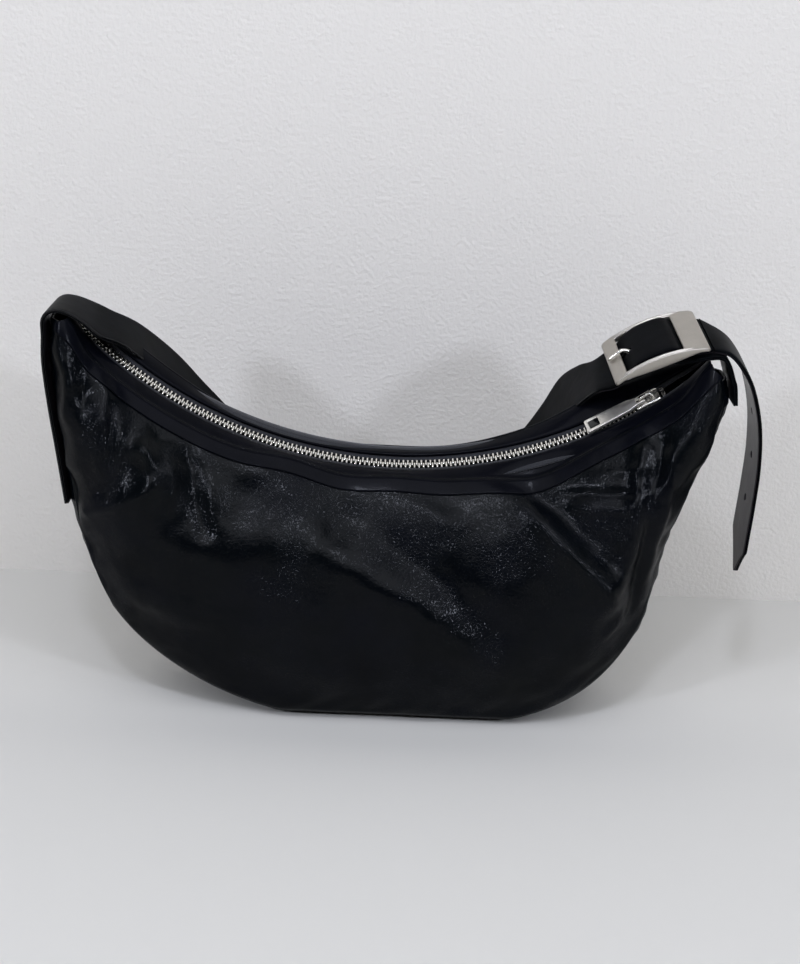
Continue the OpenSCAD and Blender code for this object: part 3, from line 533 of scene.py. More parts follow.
def line_distance(x, z, line):
    """Distance from grid points to a polyline, and the share of its length at the nearest point."""
    line = np.asarray(line, float)
    best, share = np.full(x.shape, 1e9), np.zeros(x.shape)
    for i, (p, q) in enumerate(zip(line[:-1], line[1:])):
        d = q - p
        f = np.clip(((x - p[0]) * d[0] + (z - p[1]) * d[1]) / (d @ d), 0, 1)
        r = np.hypot(x - p[0] - f * d[0], z - p[1] - f * d[1])
        share = np.where(r < best, (i + f) / (len(line) - 1), share)
        best = np.minimum(r, best)
    return best, share


def main_relief(v, points, side):
    """Sum of the main folds in mm, fading out towards the mouth and the seam."""
    x, z = points[..., 0], points[..., 2]
    total = np.zeros(x.shape)
    for height, width, line in MAIN_FOLD_SHARES[side]:
        d, _ = line_distance(x, z, np.array(line) * (HALF_W, TIP_H))
        total += height * DEPTH / (1 + (d / (width * HALF_W)) ** 2) ** MAIN_TAIL
    return total * smooth_step(v / 0.12) * smooth_step((1 - v) / 0.12)


def fine_relief(x, z, side):
    """Sum of the fine folds in mm; each is a third as high at its ends as in its middle."""
    total = np.zeros(x.shape)
    for height, width, tail, line in FINE_FOLDS[side]:
        d, share = line_distance(x, z, line)
        fade = 0.35 + 0.65 * np.sin(np.pi * share) ** 0.6
        total += FINE_GAIN * height * fade / (1 + (d / width) ** 2) ** tail
    return total


def lumps(x, z, wavelength, seed, count=14):
    """Smooth even bumps, mostly between -1.5 and 1.5: a sum of waves in seeded directions."""
    rng = np.random.default_rng(seed)
    angle, phase = rng.uniform(0, 2 * np.pi, (2, count))
    pitch = 2 * np.pi / (wavelength * rng.uniform(0.7, 1.4, count))
    waves = [np.sin(k * (x * np.cos(a) + z * np.sin(a)) + f) for k, a, f in zip(pitch, angle, phase)]
    return np.sum(waves, 0) / np.sqrt(count)


print("a fold 1 mm high and 3 mm wide is", round(2**-MAIN_TAIL, 2), "mm high 3 mm from its crest")

# %% [markdown]
# The two walls are cut from crackled hide. Each is a grid of about 1.3 mm, pushed out along its
# own normal by the leather's thickness, the folds, slow sagging, and small crumples that are
# stronger near the tips. Along the seam the skin is gathered into short puckers and dips into
# the stitched groove. The front and back walls share the form but not their folds.


# %% Front and back walls
ease = np.linspace(0, 1, 112)
down = 0.5 - 0.5 * np.cos(np.pi * ease) * (0.75 + 0.25 * np.abs(2 * ease - 1))
WALL_T, WALL_V = np.meshgrid(np.linspace(0, 1, 300), down, indexing="ij")
SEEDS = {1: 11, -1: 42}


def relief(v, points, side):
    """How far the skin stands off the plain form, in mm: folds + sagging + crumples + puckers - groove."""
    x, z, seed = points[..., 0], points[..., 2], SEEDS[side]
    ends = smooth_step((np.abs(x) - 95) / 60)
    soft = 1.1 * lumps(x, z, 88, seed) + 0.7 * lumps(x, z, 36, seed + 1)
    crumple = (0.12 + 0.16 * ends) * lumps(x, z, 15, seed + 2)
    crumple = crumple + (0.03 + 0.04 * ends) * lumps(x, z, 7, seed + 3)
    length = np.linalg.norm(points[:, -1] - points[:, 0], axis=-1)[:, None]
    to_seam = (1 - v) * length
    free = smooth_step((v * length - 6) / 16) * smooth_step((1 - v) / 0.06)
    pucker = 0.45 * lumps(x - z, np.zeros_like(x), 22, seed + 4) * np.exp(-((to_seam - 7) / 9) ** 2)
    groove = -1.3 * np.exp(-(to_seam / 1.7) ** 2)
    return main_relief(v, points, side) + free * (fine_relief(x, z, side) + soft + crumple + pucker) + groove


def wall_surface(t, v, side, lift=0.0):
    """The finished outer surface of a wall, as if it were on the front side, and its normals."""
    points = wall_point(t, v, 0, side)
    out = normals_of(points)
    out *= np.sign(-out[..., 1:2] + 1e-9)
    return points + out * (LEATHER + lift + relief(v, points, side))[..., None], out


for side, name in SIDES:
    outer, out = wall_surface(WALL_T, WALL_V, side)
    turn = np.array([1, side, 1])
    skin = shell(name + "_wall_leather", outer * turn, (outer - out * SKIN) * turn)
    dress(skin, "bag", patent, "patent_leather", name + "_panel")
    print(name, "wall:", len(skin.data.polygons), "faces")

# %% [markdown]
# The gusset is the long strip between the walls, from one tip round the base to the other. It
# is crowned, so its middle is the outline and its edges lie in the seams. It gathers a little
# where it turns, and its middle is pressed flat where the bag rests.

# %% Gusset
GUSSET_T, ACROSS = np.meshgrid(np.linspace(0, 1, 340), np.linspace(-1, 1, 41), indexing="ij")
GUSSET_LENGTH = 620


def gusset_surface(t, across, inward=0.0):
    """Surface at shares t along and across, some mm inside: it falls by SEAM_IN * |across| ** 2.4."""
    half = rows_at(STATION_SHARES, t)[..., 4] * GUSSET
    to_seam = (1 - np.abs(across)) * half
    depth = SEAM_IN * np.abs(across) ** 2.4 + 1.2 * np.exp(-(to_seam / 1.8) ** 2) - LEATHER * 0.2
    free, run = smooth_step(to_seam / 7), t * GUSSET_LENGTH
    depth -= free * (0.5 * lumps(run, across * 30, 34, 71) + 0.3 * lumps(run, across * 30, 13, 72))
    depth = np.where(depth < 0, 0, depth) + inward
    xz, _ = outline(t, depth)
    return np.stack([xz[..., 0], across * half, np.maximum(xz[..., 1], inward)], -1)


gusset = shell("gusset_leather", gusset_surface(GUSSET_T, ACROSS), gusset_surface(GUSSET_T, ACROSS, SKIN))
dress(gusset, "bag", patent, "patent_leather", "gusset")
print("gusset:", len(gusset.data.polygons), "faces")

# %% [markdown]
# The lining is a bag inside the bag, seen only through the mouth when the zip is open. It starts
# 5 mm below the mouth, ends short of the seam, and follows the folds of the leather round it, so
# that it doesn't poke through them.

# %% Lining
LINING_T, LINING_V = np.meshgrid(np.linspace(0.12, 0.88, 90), np.linspace(0, 1, 30), indexing="ij")
LINING_TOP, LINING_SHORT = 5, 11
for side, name in SIDES:
    plain_wall = wall_point(LINING_T, LINING_V, 0, side)
    run = np.linalg.norm(plain_wall[:, -1] - plain_wall[:, 0], axis=-1)[:, None]
    share = (LINING_TOP + (run - LINING_SHORT) * LINING_V) / run
    turn = np.array([1, side, 1])
    faces = [wall_point(LINING_T, share, depth, side) for depth in (-1.6, -2.2)]
    outer, inner = (p - (0, 1, 0) * relief(share, p, side)[..., None] for p in faces)
    cloth = shell(name + "_lining_cloth", outer * turn, inner * turn)
    dress(cloth, "bag", lining_cloth, "lining_cloth", name + "_lining")
t, across = np.meshgrid(np.linspace(0.12, 0.88, 120), np.linspace(-0.9, 0.9, 12), indexing="ij")
cloth = shell("gusset_lining_cloth", gusset_surface(t, across, 2.6), gusset_surface(t, across, 3.2))
dress(cloth, "bag", lining_cloth, "lining_cloth", "gusset_lining")
print("lining: front, back and gusset,", len(cloth.data.polygons), "faces in the gusset's")

# %% [markdown]
# A facing is a strip of leather along each side of the mouth. It covers the zip tape, turns
# over the wall's top edge and is stitched down 5 mm below it. Each stitch is a short bead of
# waxed thread, sunk a little into the leather, about seven to the inch.


# %% Facings and their stitches
def facing_surface(t, rows, lift, side):
    """Rows across the facing: mm from the zip's middle and above it, then mm down the wall."""
    angle = mouth_angle(t)
    strips = [mouth_place(angle, -b, c + lift, side) for b, c in rows["mouth"]]
    down = np.array(rows["wall"])
    ends = [wall_point(t, share * np.ones_like(t), 0, side) for share in (0, 1)]
    length = np.linalg.norm(ends[1] - ends[0], axis=-1)
    tt, vv = np.broadcast_to(t[:, None], (len(t), len(down))), down[None] / length[:, None]
    fold_rows, out = wall_surface(tt, vv, side, lift)
    return np.concatenate([np.stack(strips, 1), fold_rows], axis=1), out[:, -1]


FACING_ROWS = {"mouth": [(5.6, 0.3), (6.0, 0.9), (7.5, 1.25), (10, 1.5), (13, 1.4), (15.2, 0.9)],
               "wall": [0.8, 2.0, 3.6, 5.2, 6.6, 7.2]}
STITCH_ROWS = {"mouth": [(15, 0.9)], "wall": [4.4, 5.0]}
FACING_T = np.linspace(0.004, 0.996, 330)
STITCH_PITCH, STITCH_SIZE = 3.6, (2.5, 0.75, 0.55)


def bead_row(name, centres, along, out, size):
    """One mesh of beads, squashed spheres of a length, width and height, turned along their seam."""
    lat, lon = np.meshgrid(np.linspace(0.15, np.pi - 0.15, 5), full_turn(8), indexing="ij")
    ball = np.stack([np.cos(lat) * size[0] / 2, np.sin(lat) * np.cos(lon) * size[1] / 2,
                     np.sin(lat) * np.sin(lon) * size[2] / 2], -1).reshape(-1, 3)
    axes = np.stack([along, np.cross(out, along), out], 1)
    return lofts_in_one(name, centres[:, None] + ball @ axes, *lat.shape)


def every(points, pitch):
    """Indices into a dense line so that the picks lie about pitch mm apart."""
    run = np.concatenate([[0], np.cumsum(np.linalg.norm(np.diff(points, axis=0), axis=-1))])
    return np.searchsorted(run, np.arange(pitch, run[-1] - pitch, pitch))


for side, name in SIDES:
    turn = np.array([1, side, 1])
    outer, inner = (facing_surface(FACING_T, FACING_ROWS, lift, side)[0] for lift in (1.0, 0.0))
    strip = shell(name + "_facing_leather", outer * turn, inner * turn)
    dress(strip, "bag", facing_leather, "smooth_leather", name + "_facing")
    line, out = facing_surface(np.linspace(0.012, 0.988, 4000), STITCH_ROWS, 1.0, side)
    line = line[:, -1] * turn
    pick = every(line, STITCH_PITCH)
    along = unit(np.gradient(line, axis=0))
    beads = bead_row(name + "_facing_stitches", line[pick], along[pick], (out * turn)[pick], STITCH_SIZE)
    dress(beads, "bag", thread, "smooth_leather")
    print(name, "facing with", len(pick), "stitches")

# %% [markdown]
# The zip. Its tape is woven and narrow, and the teeth are die-cast nickel beads of 1.05 mm on a
# pitch of 2.5 mm, one row half a pitch behind the other, so the heads interlock. A tooth is a
# clamp over the tape's edge, a waist, and a rounded head that reaches past the middle.


# %% Zip tape and teeth
def on_arc(angle, a, b, c):
    """Point at a mm along the zip, b back and c above it, at an angle on the leaning mouth's arc."""
    q, lean = np.radians(angle)[..., None, None], lean_at(angle)[..., None, None]
    base = arc_point(angle)
    ex = np.concatenate([np.cos(q), 0 * q, np.sin(q)], -1)
    rise = np.concatenate([-np.sin(q), 0 * q, np.cos(q)], -1)
    back = np.array([0, 1.0, 0])
    ey, ez = back * np.cos(lean) + rise * np.sin(lean), rise * np.cos(lean) - back * np.sin(lean)
    origin = np.stack([base[..., 0], 0 * base[..., 0], base[..., 1]], -1)[..., None, :]
    return origin + ex * a[..., None] + ey * b[..., None] + ez * c[..., None]


TAPE_ROWS = np.array([(3.0, 0.0), (3.5, 0.05), (5, 0.0), (8, -0.05), (11, 0.0), (14, 0.0)])
TAPE_THICK, TAPE_ENDS = 0.8, 0.2
TOOTH_PLAN = np.array([(-0.46, -3), (0.46, -3), (0.52, -2.3), (0.5, -1.3), (0.4, -0.75), (0.42, -0.35),
                       (0.52, 0.1), (0.5, 0.5), (0.32, 0.86), (-0.32, 0.86), (-0.5, 0.5), (-0.52, 0.1),
                       (-0.42, -0.35), (-0.4, -0.75), (-0.5, -1.3), (-0.52, -2.3)])
TOOTH_MIDDLE = np.array([0, -1.2])
TOOTH_RINGS = [(0.72, -1.2), (0.97, -0.95), (1, 0), (0.97, 0.95), (0.86, 1.1), (0.6, 1.2)]
PITCH = np.degrees(2.5 / ZIP_R)
SLIDER_AT, SLIDER_HALF = 34.5, 7
CHAIN_FROM = ARC_LEFT + 3 * PITCH
TEETH = int((SLIDER_AT + np.degrees(SLIDER_HALF / ZIP_R) - PITCH - CHAIN_FROM) // PITCH)


def tooth_chain(name, side, shift):
    """One row of teeth. Each ring of a tooth is the plan shrunk about its middle, at a height."""
    plan = np.stack([(TOOTH_PLAN - TOOTH_MIDDLE) * k + TOOTH_MIDDLE for k, _ in TOOTH_RINGS])
    a, b = plan[..., 0].ravel(), plan[..., 1].ravel() * side
    c = np.repeat([z - TAPE_THICK / 2 for _, z in TOOTH_RINGS], len(TOOTH_PLAN))
    points = on_arc(CHAIN_FROM + (np.arange(TEETH) + shift) * PITCH, a, b, c)
    return lofts_in_one(name, points, *plan.shape[:2])


for side, name, shift in ((1, "front", 0), (-1, "back", 0.5)):
    angles, across = np.linspace(ARC_LEFT + TAPE_ENDS, ARC_RIGHT - TAPE_ENDS, 300), -side * TAPE_ROWS[:, 0]
    top = on_arc(angles, np.zeros(6), across, TAPE_ROWS[:, 1])
    low = on_arc(angles, np.zeros(6), across, TAPE_ROWS[:, 1] - TAPE_THICK)
    dress(shell(name + "_tape_weave", top, low), "bag", tape_cloth, "zip_tape", name + "_zip_tape")
    dress(tooth_chain(name + "_teeth_cast", side, shift), "bag", nickel, "zip_metal", name + "_zip_teeth")
for name in ("zip_bottom_stop", "zip_top_stops"):
    dress(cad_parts[name], None, nickel, "zip_metal")
print("teeth in each row:", TEETH)

# %% [markdown]
# The slider is die-cast: two crowned plates with side flanges that squeeze the teeth together,
# narrow at one end and wide at the other. A bridge on top holds the pull's eye bar. The parts are
# made in the slider's own axes, a along the zip, b across and c up, and then set on the arc.


# %% Slider plates
def set_on(points, origin, ex, ey, ez):
    """Points given in a piece's own axes, placed at its origin."""
    return np.asarray(origin, float) + np.asarray(points, float) @ np.array([ex, ey, ez], float)


def mouth_axes(angle):
    """Axes along the zip, across it to the back, and up, at one angle."""
    q, lean = np.radians(angle), lean_at(angle)
    rise, back = np.array([-np.sin(q), 0, np.cos(q)]), np.array([0, 1.0, 0])
    across, up = back * np.cos(lean) + rise * np.sin(lean), rise * np.cos(lean) - back * np.sin(lean)
    return np.array([(np.cos(q), 0, np.sin(q)), across, up])


x, z = arc_point(SLIDER_AT)
SLIDER_ORIGIN, SLIDER_AXES = np.array([x, 0, z]), mouth_axes(SLIDER_AT)
PLATE_WIDTHS = ([-7, -6.3, -4, 0, 3.2, 5.6, 6.5, 7], [3.3, 3.75, 3.9, 4.2, 4.85, 5.0, 4.75, 4.2])


def slider_plate(name, turn, shift):
    """A plate whose half width follows a table, with flanges that reach down beside the teeth."""
    nose = -SLIDER_HALF + SLIDER_HALF * (1 - np.cos(np.linspace(0.12, 1.4, 9))) * 1.2
    a = np.concatenate([[-SLIDER_HALF], nose, np.linspace(-0.5, 6.2, 16), [6.6, 6.85, SLIDER_HALF]])
    a = np.unique(np.clip(a, -SLIDER_HALF, SLIDER_HALF))
    loops = []
    for ai, wi, hi in zip(a, np.interp(a, *PLATE_WIDTHS), 0.28 * np.cos(a / SLIDER_HALF * 1.2) + 2.0):
        outer = [(-wi, 0.25), (-wi, 1.3), (-wi + 0.12, 1.7), (-wi + 0.45, hi - 0.12), (-wi * 0.6, hi),
                 (-wi * 0.2, hi + 0.06)]
        inner = [(-3.25, 0.25), (-3.25, 0.6), (-3.25, 0.9), (-3.1, 1.05), (-2, 1.05), (-0.8, 1.05)]
        outer, inner = (half + [(-y, z) for y, z in half[::-1]] for half in (outer, inner))
        loops.append([(ai, y, z) for y, z in outer + inner[::-1]])
    points = np.array(loops) * (1, 1, turn) + (0, 0, shift)
    return bevel(loft(name, set_on(points, SLIDER_ORIGIN, *SLIDER_AXES)), 0.18, 2, 50)


top_plate = slider_plate("slider_top_cast", 1, 0)
dress(top_plate, "slider", nickel, "slider_metal", "slider_top_plate")
low_plate = slider_plate("slider_bottom_cast", -1, -TAPE_THICK)
dress(low_plate, "slider", nickel, "slider_metal", "slider_bottom_plate")
print("slider plates:", len(top_plate.data.polygons) + len(low_plate.data.polygons), "faces")

# %% [markdown]
# The bridge is a bar: a closed profile, here a rounded rectangle, carried along an arch. The
# pull's eye bar and the chape are made with the same function.


# %% Slider bridge
def sweep(name, path, across, up, profile):
    """A bar with a closed profile (p, q) along a path: p runs across it and q up."""
    profile = np.asarray(profile, float)
    loops = path[:, None] + across[:, None] * profile[None, :, :1] + up[:, None] * profile[None, :, 1:]
    return loft(name, loops)


def round_profile(width, low, high, radius, corner=3):
    """Rounded rectangle, as a loop whose first half is its top and second half its foot."""
    q = np.linspace(0, np.pi / 2, corner)
    w = width / 2
    top = [(-w + radius - radius * np.cos(k), high - radius + radius * np.sin(k)) for k in q]
    top += [(w - radius + radius * np.sin(k), high - radius + radius * np.cos(k)) for k in q]
    foot = [(w - radius + radius * np.cos(k), low + radius - radius * np.sin(k)) for k in q]
    foot += [(-w + radius - radius * np.sin(k), low + radius - radius * np.cos(k)) for k in q]
    return np.array(top + foot)


bend = np.linspace(0, np.pi / 2, 7)
arch = [(-3.6, 2.0)] + [(-3.6 + 1.5 * (1 - np.cos(q)), 4.05 + 1.5 * np.sin(q)) for q in bend]
arch += [(2.1 + 1.5 * np.sin(q), 4.05 + 1.5 * np.cos(q)) for q in bend] + [(3.6, 2.0)]
arch = np.array([(a, 0, c) for a, c in arch])
along = unit(np.gradient(arch, axis=0))
across = np.broadcast_to(np.array([0, 1.0, 0]), arch.shape)
bridge = sweep("slider_bridge_cast", set_on(arch, SLIDER_ORIGIN, *SLIDER_AXES), across @ SLIDER_AXES,
               np.cross(along, across) @ SLIDER_AXES, round_profile(2.2, -0.6, 0.6, 0.4))
dress(bridge, "slider", nickel, "slider_metal", "slider_bridge")
print("slider bridge:", len(bridge.data.polygons), "faces")

# %% [markdown]
# Some pieces are plates with holes. A plate is its plan, pulled up between two heights, and a
# hole is cut by a second plate with a Boolean modifier. It needs both to have outward normals,
# and its result is written into the mesh at once.


# %% Plates and holes
def tidy_normals(obj):
    """Turns all faces of a closed mesh outwards."""
    work = bmesh.new()
    work.from_mesh(obj.data)
    bmesh.ops.recalc_face_normals(work, faces=work.faces)
    work.to_mesh(obj.data)
    work.free()
    return obj


def extrude_plan(name, plan, low, high, origin, axes):
    """A plate from a closed outline (a, b), between two heights."""
    n = len(plan)
    points = [(a, b, z) for z in (low, high) for a, b in plan]
    faces = [list(range(n))[::-1], list(range(n, 2 * n))]
    faces += [[i, (i + 1) % n, n + (i + 1) % n, n + i] for i in range(n)]
    return tidy_normals(mesh_object(name, set_on(points, origin, *axes), faces, smooth=False))


def carve(obj, *cutters):
    """Cuts the cutters out of obj and removes them."""
    tidy_normals(obj)
    for cutter in cutters:
        mod = obj.modifiers.new("cut", "BOOLEAN")
        mod.operation, mod.object, mod.solver = "DIFFERENCE", cutter, "EXACT"
        apply_modifiers(obj)
        bpy.data.objects.remove(cutter)
    return obj


def rounded_square(centre, side, radius, corner=5):
    """Outline of a square with rounded corners: a quarter turn round the middle of each corner."""
    h = side / 2 - radius
    plan = []
    for k, (sa, sb) in enumerate(((1, 1), (-1, 1), (-1, -1), (1, -1))):
        turn = k * np.pi / 2 + np.linspace(0, np.pi / 2, corner)
        plan += [(centre + sa * h + radius * np.cos(q), sb * h + radius * np.sin(q)) for q in turn]
    return plan


print("a rounded square has", len(rounded_square(0, 6, 1)), "points")

# %% [markdown]
# The pull is one casting: an eye bar behind a fork, and a plate that widens towards its end,
# with a square window for an enamel. The enamel is left plain: no mark belongs on it.

# %% Pull
EYE, PULL_REST, WINDOW_AT = (-1.7, 3.55), 4, -29.4
ex, ey, ez = SLIDER_AXES
pull_origin = SLIDER_ORIGIN + ex * EYE[0] + ez * EYE[1]
tilt = np.radians(PULL_REST)
pull_axes = (ex * np.cos(tilt) - ez * np.sin(tilt), ey, ex * np.sin(tilt) + ez * np.cos(tilt))
half_plan = [(-4.0, 1.45), (0.45, 1.45), (0.75, 1.8), (0.75, 2.3), (0.4, 2.6), (-4.6, 2.65), (-6.4, 3.2),
             (-8.2, 3.85), (-10, 4.0), (-20, 4.35), (-31, 4.75), (-32.9, 4.8), (-33.8, 4.5), (-34.2, 3.8)]
plan = half_plan + [(a, -b) for a, b in half_plan[::-1]]
tab = extrude_plan("pull_tab_cast", plan, -0.9, 0.9, pull_origin, pull_axes)
window = rounded_square(WINDOW_AT, 6.1, 0.9)
carve(tab, extrude_plan("pull_window_cutter", window, 0.0, 2.0, pull_origin, pull_axes))
bevel(tab, 0.3, 3)
dress(tab, "pull", satin_zinc, "slider_metal", "pull_tab")
eye_path = pull_origin + np.linspace(-1, 1, 9)[:, None] * 1.6 * pull_axes[1]
circle = full_turn(16)
sides = [np.broadcast_to(pull_axes[k], eye_path.shape) for k in (0, 2)]
eye = sweep("pull_eye_bar", eye_path, *sides, 0.8 * np.stack([np.cos(circle), np.sin(circle)], -1))
dress(eye, "pull", nickel, "slider_metal")
inlay_plan = rounded_square(WINDOW_AT, 5.9, 0.8)
inlay = extrude_plan("pull_inlay_enamel", inlay_plan, 0.02, 0.62, pull_origin, pull_axes)
bevel(inlay, 0.12, 2)
dress(inlay, "pull", enamel, "black_inlay", "pull_inlay")
print("pull:", sum(len(o.data.polygons) for o in (tab, eye, inlay)), "faces")

# %% [markdown]
# The strap. One route runs from the band on the left end of the gusset over the left tip, sags
# behind the bag and rises into the buckle. A row of it holds a point and the direction of the
# strap's width. Rows that follow the bag are shares of its sizes, and those in the buckle are in
# the buckle's own axes, where x runs along it and z up from the middle of its arch.

# %% Strap route
STRAP_HALF, STRAP_BACK = 17.5, 66
BUCKLE_AT = np.array([140.43, 3.3, 217.402])
BUCKLE_AXES = np.array([(0.913545, 0, 0.406737), (-0.105271, 0.965926, 0.236443),
                        (-0.392877, -0.258819, 0.882417)])
ARCH_R, FRAME_END, RUN_END = 72.725, 26.5, 27.5


def arch_z(x):
    """Height of the buckle's arch, a circle of radius ARCH_R, at x; 0 in its middle."""
    return np.sqrt(ARCH_R**2 - np.minimum(np.abs(x), FRAME_END) ** 2) - ARCH_R


def under_bar(x):
    """Middle height of a strap that runs under the buckle's end bars."""
    return arch_z(x) - 5.2


def on_buckle(x, z):
    """A row of the route, given in the buckle's own axes."""
    return [*(BUCKLE_AT + x * BUCKLE_AXES[0] + z * BUCKLE_AXES[2]), *BUCKLE_AXES[1]]


def band_row(t, lift):
    """A row that lies on the gusset at share t of the stations, some mm above it."""
    p, out = outline(np.array([t]))
    x, z = (p + out * lift)[0]
    return [x, 0, z, 0, 1, 0]


def share_rows(table):
    """Rows in mm from shares: x of HALF_W, or of half the mouth on the right, y of STRAP_BACK, z of TIP_H."""
    return [[x * (HALF_W if x < 0 else MOUTH_W / 2), y * STRAP_BACK, z * TIP_H, *w] for x, y, z, *w in table]


LEFT_BAND = [band_row(t, 1.2) for t in (0.19, 0.15, 0.11, 0.07, 0.035)]
OVER_TIP = share_rows([(-0.984, 0, 1.0, 0, 1, 0), (-0.962, 0, 1.02, 0, 1, 0), (-0.925, 0, 1.02, 0, 1, 0),
                       (-0.875, 0.02, 1.0, 0, 1, 0.05)])
BEHIND = share_rows([
    (-0.828, 0.045, 0.972, 0, 1, 0.15), (-0.757, 0.25, 0.924, 0, 0.98, 0.14),
    (-0.667, 0.58, 0.815, 0, 0.93, 0.26), (-0.57, 0.785, 0.69, 0, 0.88, 0.42),
    (-0.44, 0.915, 0.566, 0, 0.87, 0.5), (-0.24, 0.975, 0.475, 0, 0.87, 0.5),
    (-0.02, 1, 0.447, 0, 0.87, 0.5), (0.1838, 0.985, 0.457, 0, 0.87, 0.5),
    (0.3623, 0.955, 0.503, 0, 0.87, 0.5), (0.4596, 0.875, 0.59, 0, 0.87, 0.5),
    (0.5245, 0.785, 0.678, 0, 0.87, 0.5), (0.5753, 0.645, 0.772, 0, 0.88, 0.46),
    (0.6218, 0.36, 0.842, 0, 0.95, 0.32), (0.6575, 0.16, 0.88, 0, 0.98, 0.2)])
THROUGH = [on_buckle(x, z) for x, z in (
    (-RUN_END, under_bar(RUN_END)), (-18.5, under_bar(18.5) + 0.6), (-12.8, -3.3), (-7.5, -1.1), (0, -0.3),
    (6, -0.55), (10, -2.1), (13.5, under_bar(13.5) + 0.7), (20.5, under_bar(20.5) - 0.3),
    (RUN_END, under_bar(RUN_END) - 0.25))]
ROUTE = np.array(LEFT_BAND + OVER_TIP + BEHIND + THROUGH)
AT_HALF, AT_RUN = 15.5, len(ROUTE) - len(THROUGH) - 1
print("strap route:", len(ROUTE), "rows; the halves meet at row", AT_HALF)

# %% [markdown]
# A strap piece is a band: a flat profile with rounded corners, carried along its rows. It is an
# outer layer of glazed leather over a backing, and the columns of faces on its corners and its
# two ends are painted. The band with the left half is one piece, then come the right half and
# the run through the buckle, which has a small oval hole for the prong. The halves cross the
# joints of the swinging strap.


# %% Strap
def frame_along(rows, u):
    """Points, width directions and upward directions at row numbers u of a route."""
    last = len(rows) - 1
    r = rows_at(rows, u / last)
    step = rows_at(rows, (u + 0.06) / last)[:, :3] - rows_at(rows, (u - 0.06) / last)[:, :3]
    across = unit(r[:, 3:])
    return r[:, :3], across, unit(np.cross(step, across))


EDGE_Y = np.array([-1, -0.985, -0.955, -0.9, -0.72, -0.36, 0, 0.36, 0.72, 0.9, 0.955, 0.985, 1])
PAINTED_COLUMNS = [0, 1, 10, 11, 12, 13, 14, 23, 24, 25]


def band(name, rows, u, low, high, material, slot, nodes=(), half=STRAP_HALF):
    """A strap layer along a route at row numbers u; half may be an array, to taper the end."""
    p, across, up = frame_along(rows, u)
    half = np.broadcast_to(half, u.shape)[:, None]
    edge = np.clip(1 - np.abs(EDGE_Y), 0, 0.1) / 0.1
    round_off = 0.42 * (1 - edge) ** 3
    wide = p[:, None] + across[:, None] * (EDGE_Y * half)[..., None]
    top, foot = (wide + up[:, None] * z[:, None] for z in (high - round_off, low + 0.6 * round_off))
    loops = np.concatenate([top, foot[:, ::-1]], 1)
    obj = loft(name, loops)
    obj.data.set_sharp_from_angle(angle=np.radians(50))
    dress(obj, None, [material, edge_paint], slot, *nodes)
    k = loops.shape[1]
    sides = (len(u) - 1) * k
    column = np.zeros(len(obj.data.polygons), int)
    column[:sides] = np.arange(sides) % k
    painted = np.isin(column, PAINTED_COLUMNS) | (np.arange(column.size) >= sides)
    obj.data.polygons.foreach_set("material_index", painted.astype(np.int32))
    return obj


LAYERS = (("leather", 0.0, 1.5, strap_leather, "smooth_leather", ""),
          ("backing", -0.9, -0.05, backing_leather, "strap_backing", "_backing"))
HOLE_AT, HOLE_HALF = -15.2, (3.4, 1.9)
for label, low, high, material, slot, end in LAYERS:
    layer = (low, high, material, slot)
    nodes = ["strap_left" + (end or "_end"), "strap_main" + end]
    left = band("strap_left_" + label, ROUTE, np.linspace(0, AT_HALF, 240), *layer, nodes)
    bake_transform(left)
    right = band("strap_right_" + label, ROUTE, np.linspace(AT_HALF, AT_RUN, 120), *layer, nodes[1:])
    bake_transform(right)
    run = band("strap_run_" + label, ROUTE, np.linspace(AT_RUN, len(ROUTE) - 1, 130), *layer)
    hole = [(HOLE_AT + HOLE_HALF[0] * np.cos(q), HOLE_HALF[1] * np.sin(q)) for q in full_turn(32)]
    carve(run, extrude_plan("prong_hole_cutter", hole, -20, 20, BUCKLE_AT, BUCKLE_AXES))
    dress(run, "bag", [material, edge_paint], slot, "strap_buckle" + (end or "_run"))
    print("strap,", label, "layer:", sum(len(o.data.polygons) for o in (left, right, run)), "faces")

# %% [markdown]
# The tail leaves the buckle, falls over the right tip and hangs beside the bag. Its end is cut to
# a blunt point, and three punched holes wait for the prong. A row's x is a share of how far the
# tail hangs out, and its z of its length.

# %% Tail
TAIL_OUT, TAIL_END, TAPER = 53, 86, 19.25
TAIL_SHARES = [(0.737, 0.985), (0.877, 0.93), (1.007, 0.84), (1.112, 0.69), (1.151, 0.52), (1.141, 0.34),
               (1.116, 0.16), (1.105, 0)]
TAIL = np.array([on_buckle(27.9, under_bar(RUN_END) - 0.25)] + [
    [BUCKLE_AT[0] + x * TAIL_OUT, 0, TAIL_END + (TIP_H - TAIL_END) * s, 0, 1, 0.1] for x, s in TAIL_SHARES])
TAIL_HOLES = (130.25, 155.25, 180.25)


def tail_half(z):
    """Half the width at a height: full, then a taper over TAPER mm, with a rounded point."""
    share = np.clip((z - TAIL_END) / TAPER, 0, 1)
    return STRAP_HALF * np.sqrt(np.clip(share, 0, 1)) * (0.35 + 0.65 * share) + 0.15


last = len(TAIL_SHARES)
u = np.concatenate([np.linspace(0, last - 1, 90), last - np.geomspace(1, 0.002, 60)[1:], [last]])
half = tail_half(frame_along(TAIL, u)[0][:, 2])
for label, low, high, material, slot, end in LAYERS:
    tail = band("tail_" + label, TAIL, u, low, high, material, slot, half=half)
    circle = 2 * np.stack([np.cos(full_turn(28)), np.sin(full_turn(28))], -1)
    carve(tail, *(extrude_plan("hole_cutter", circle, -30, 40, (190, 0, z), ((0, 1, 0), (0, 0, 1), (1, 0, 0)))
                  for z in TAIL_HOLES))
    dress(tail, None, [material, edge_paint], slot, "strap_tail" + end)
    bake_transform(tail)
    print("tail,", label, "layer:", len(tail.data.polygons), "faces")

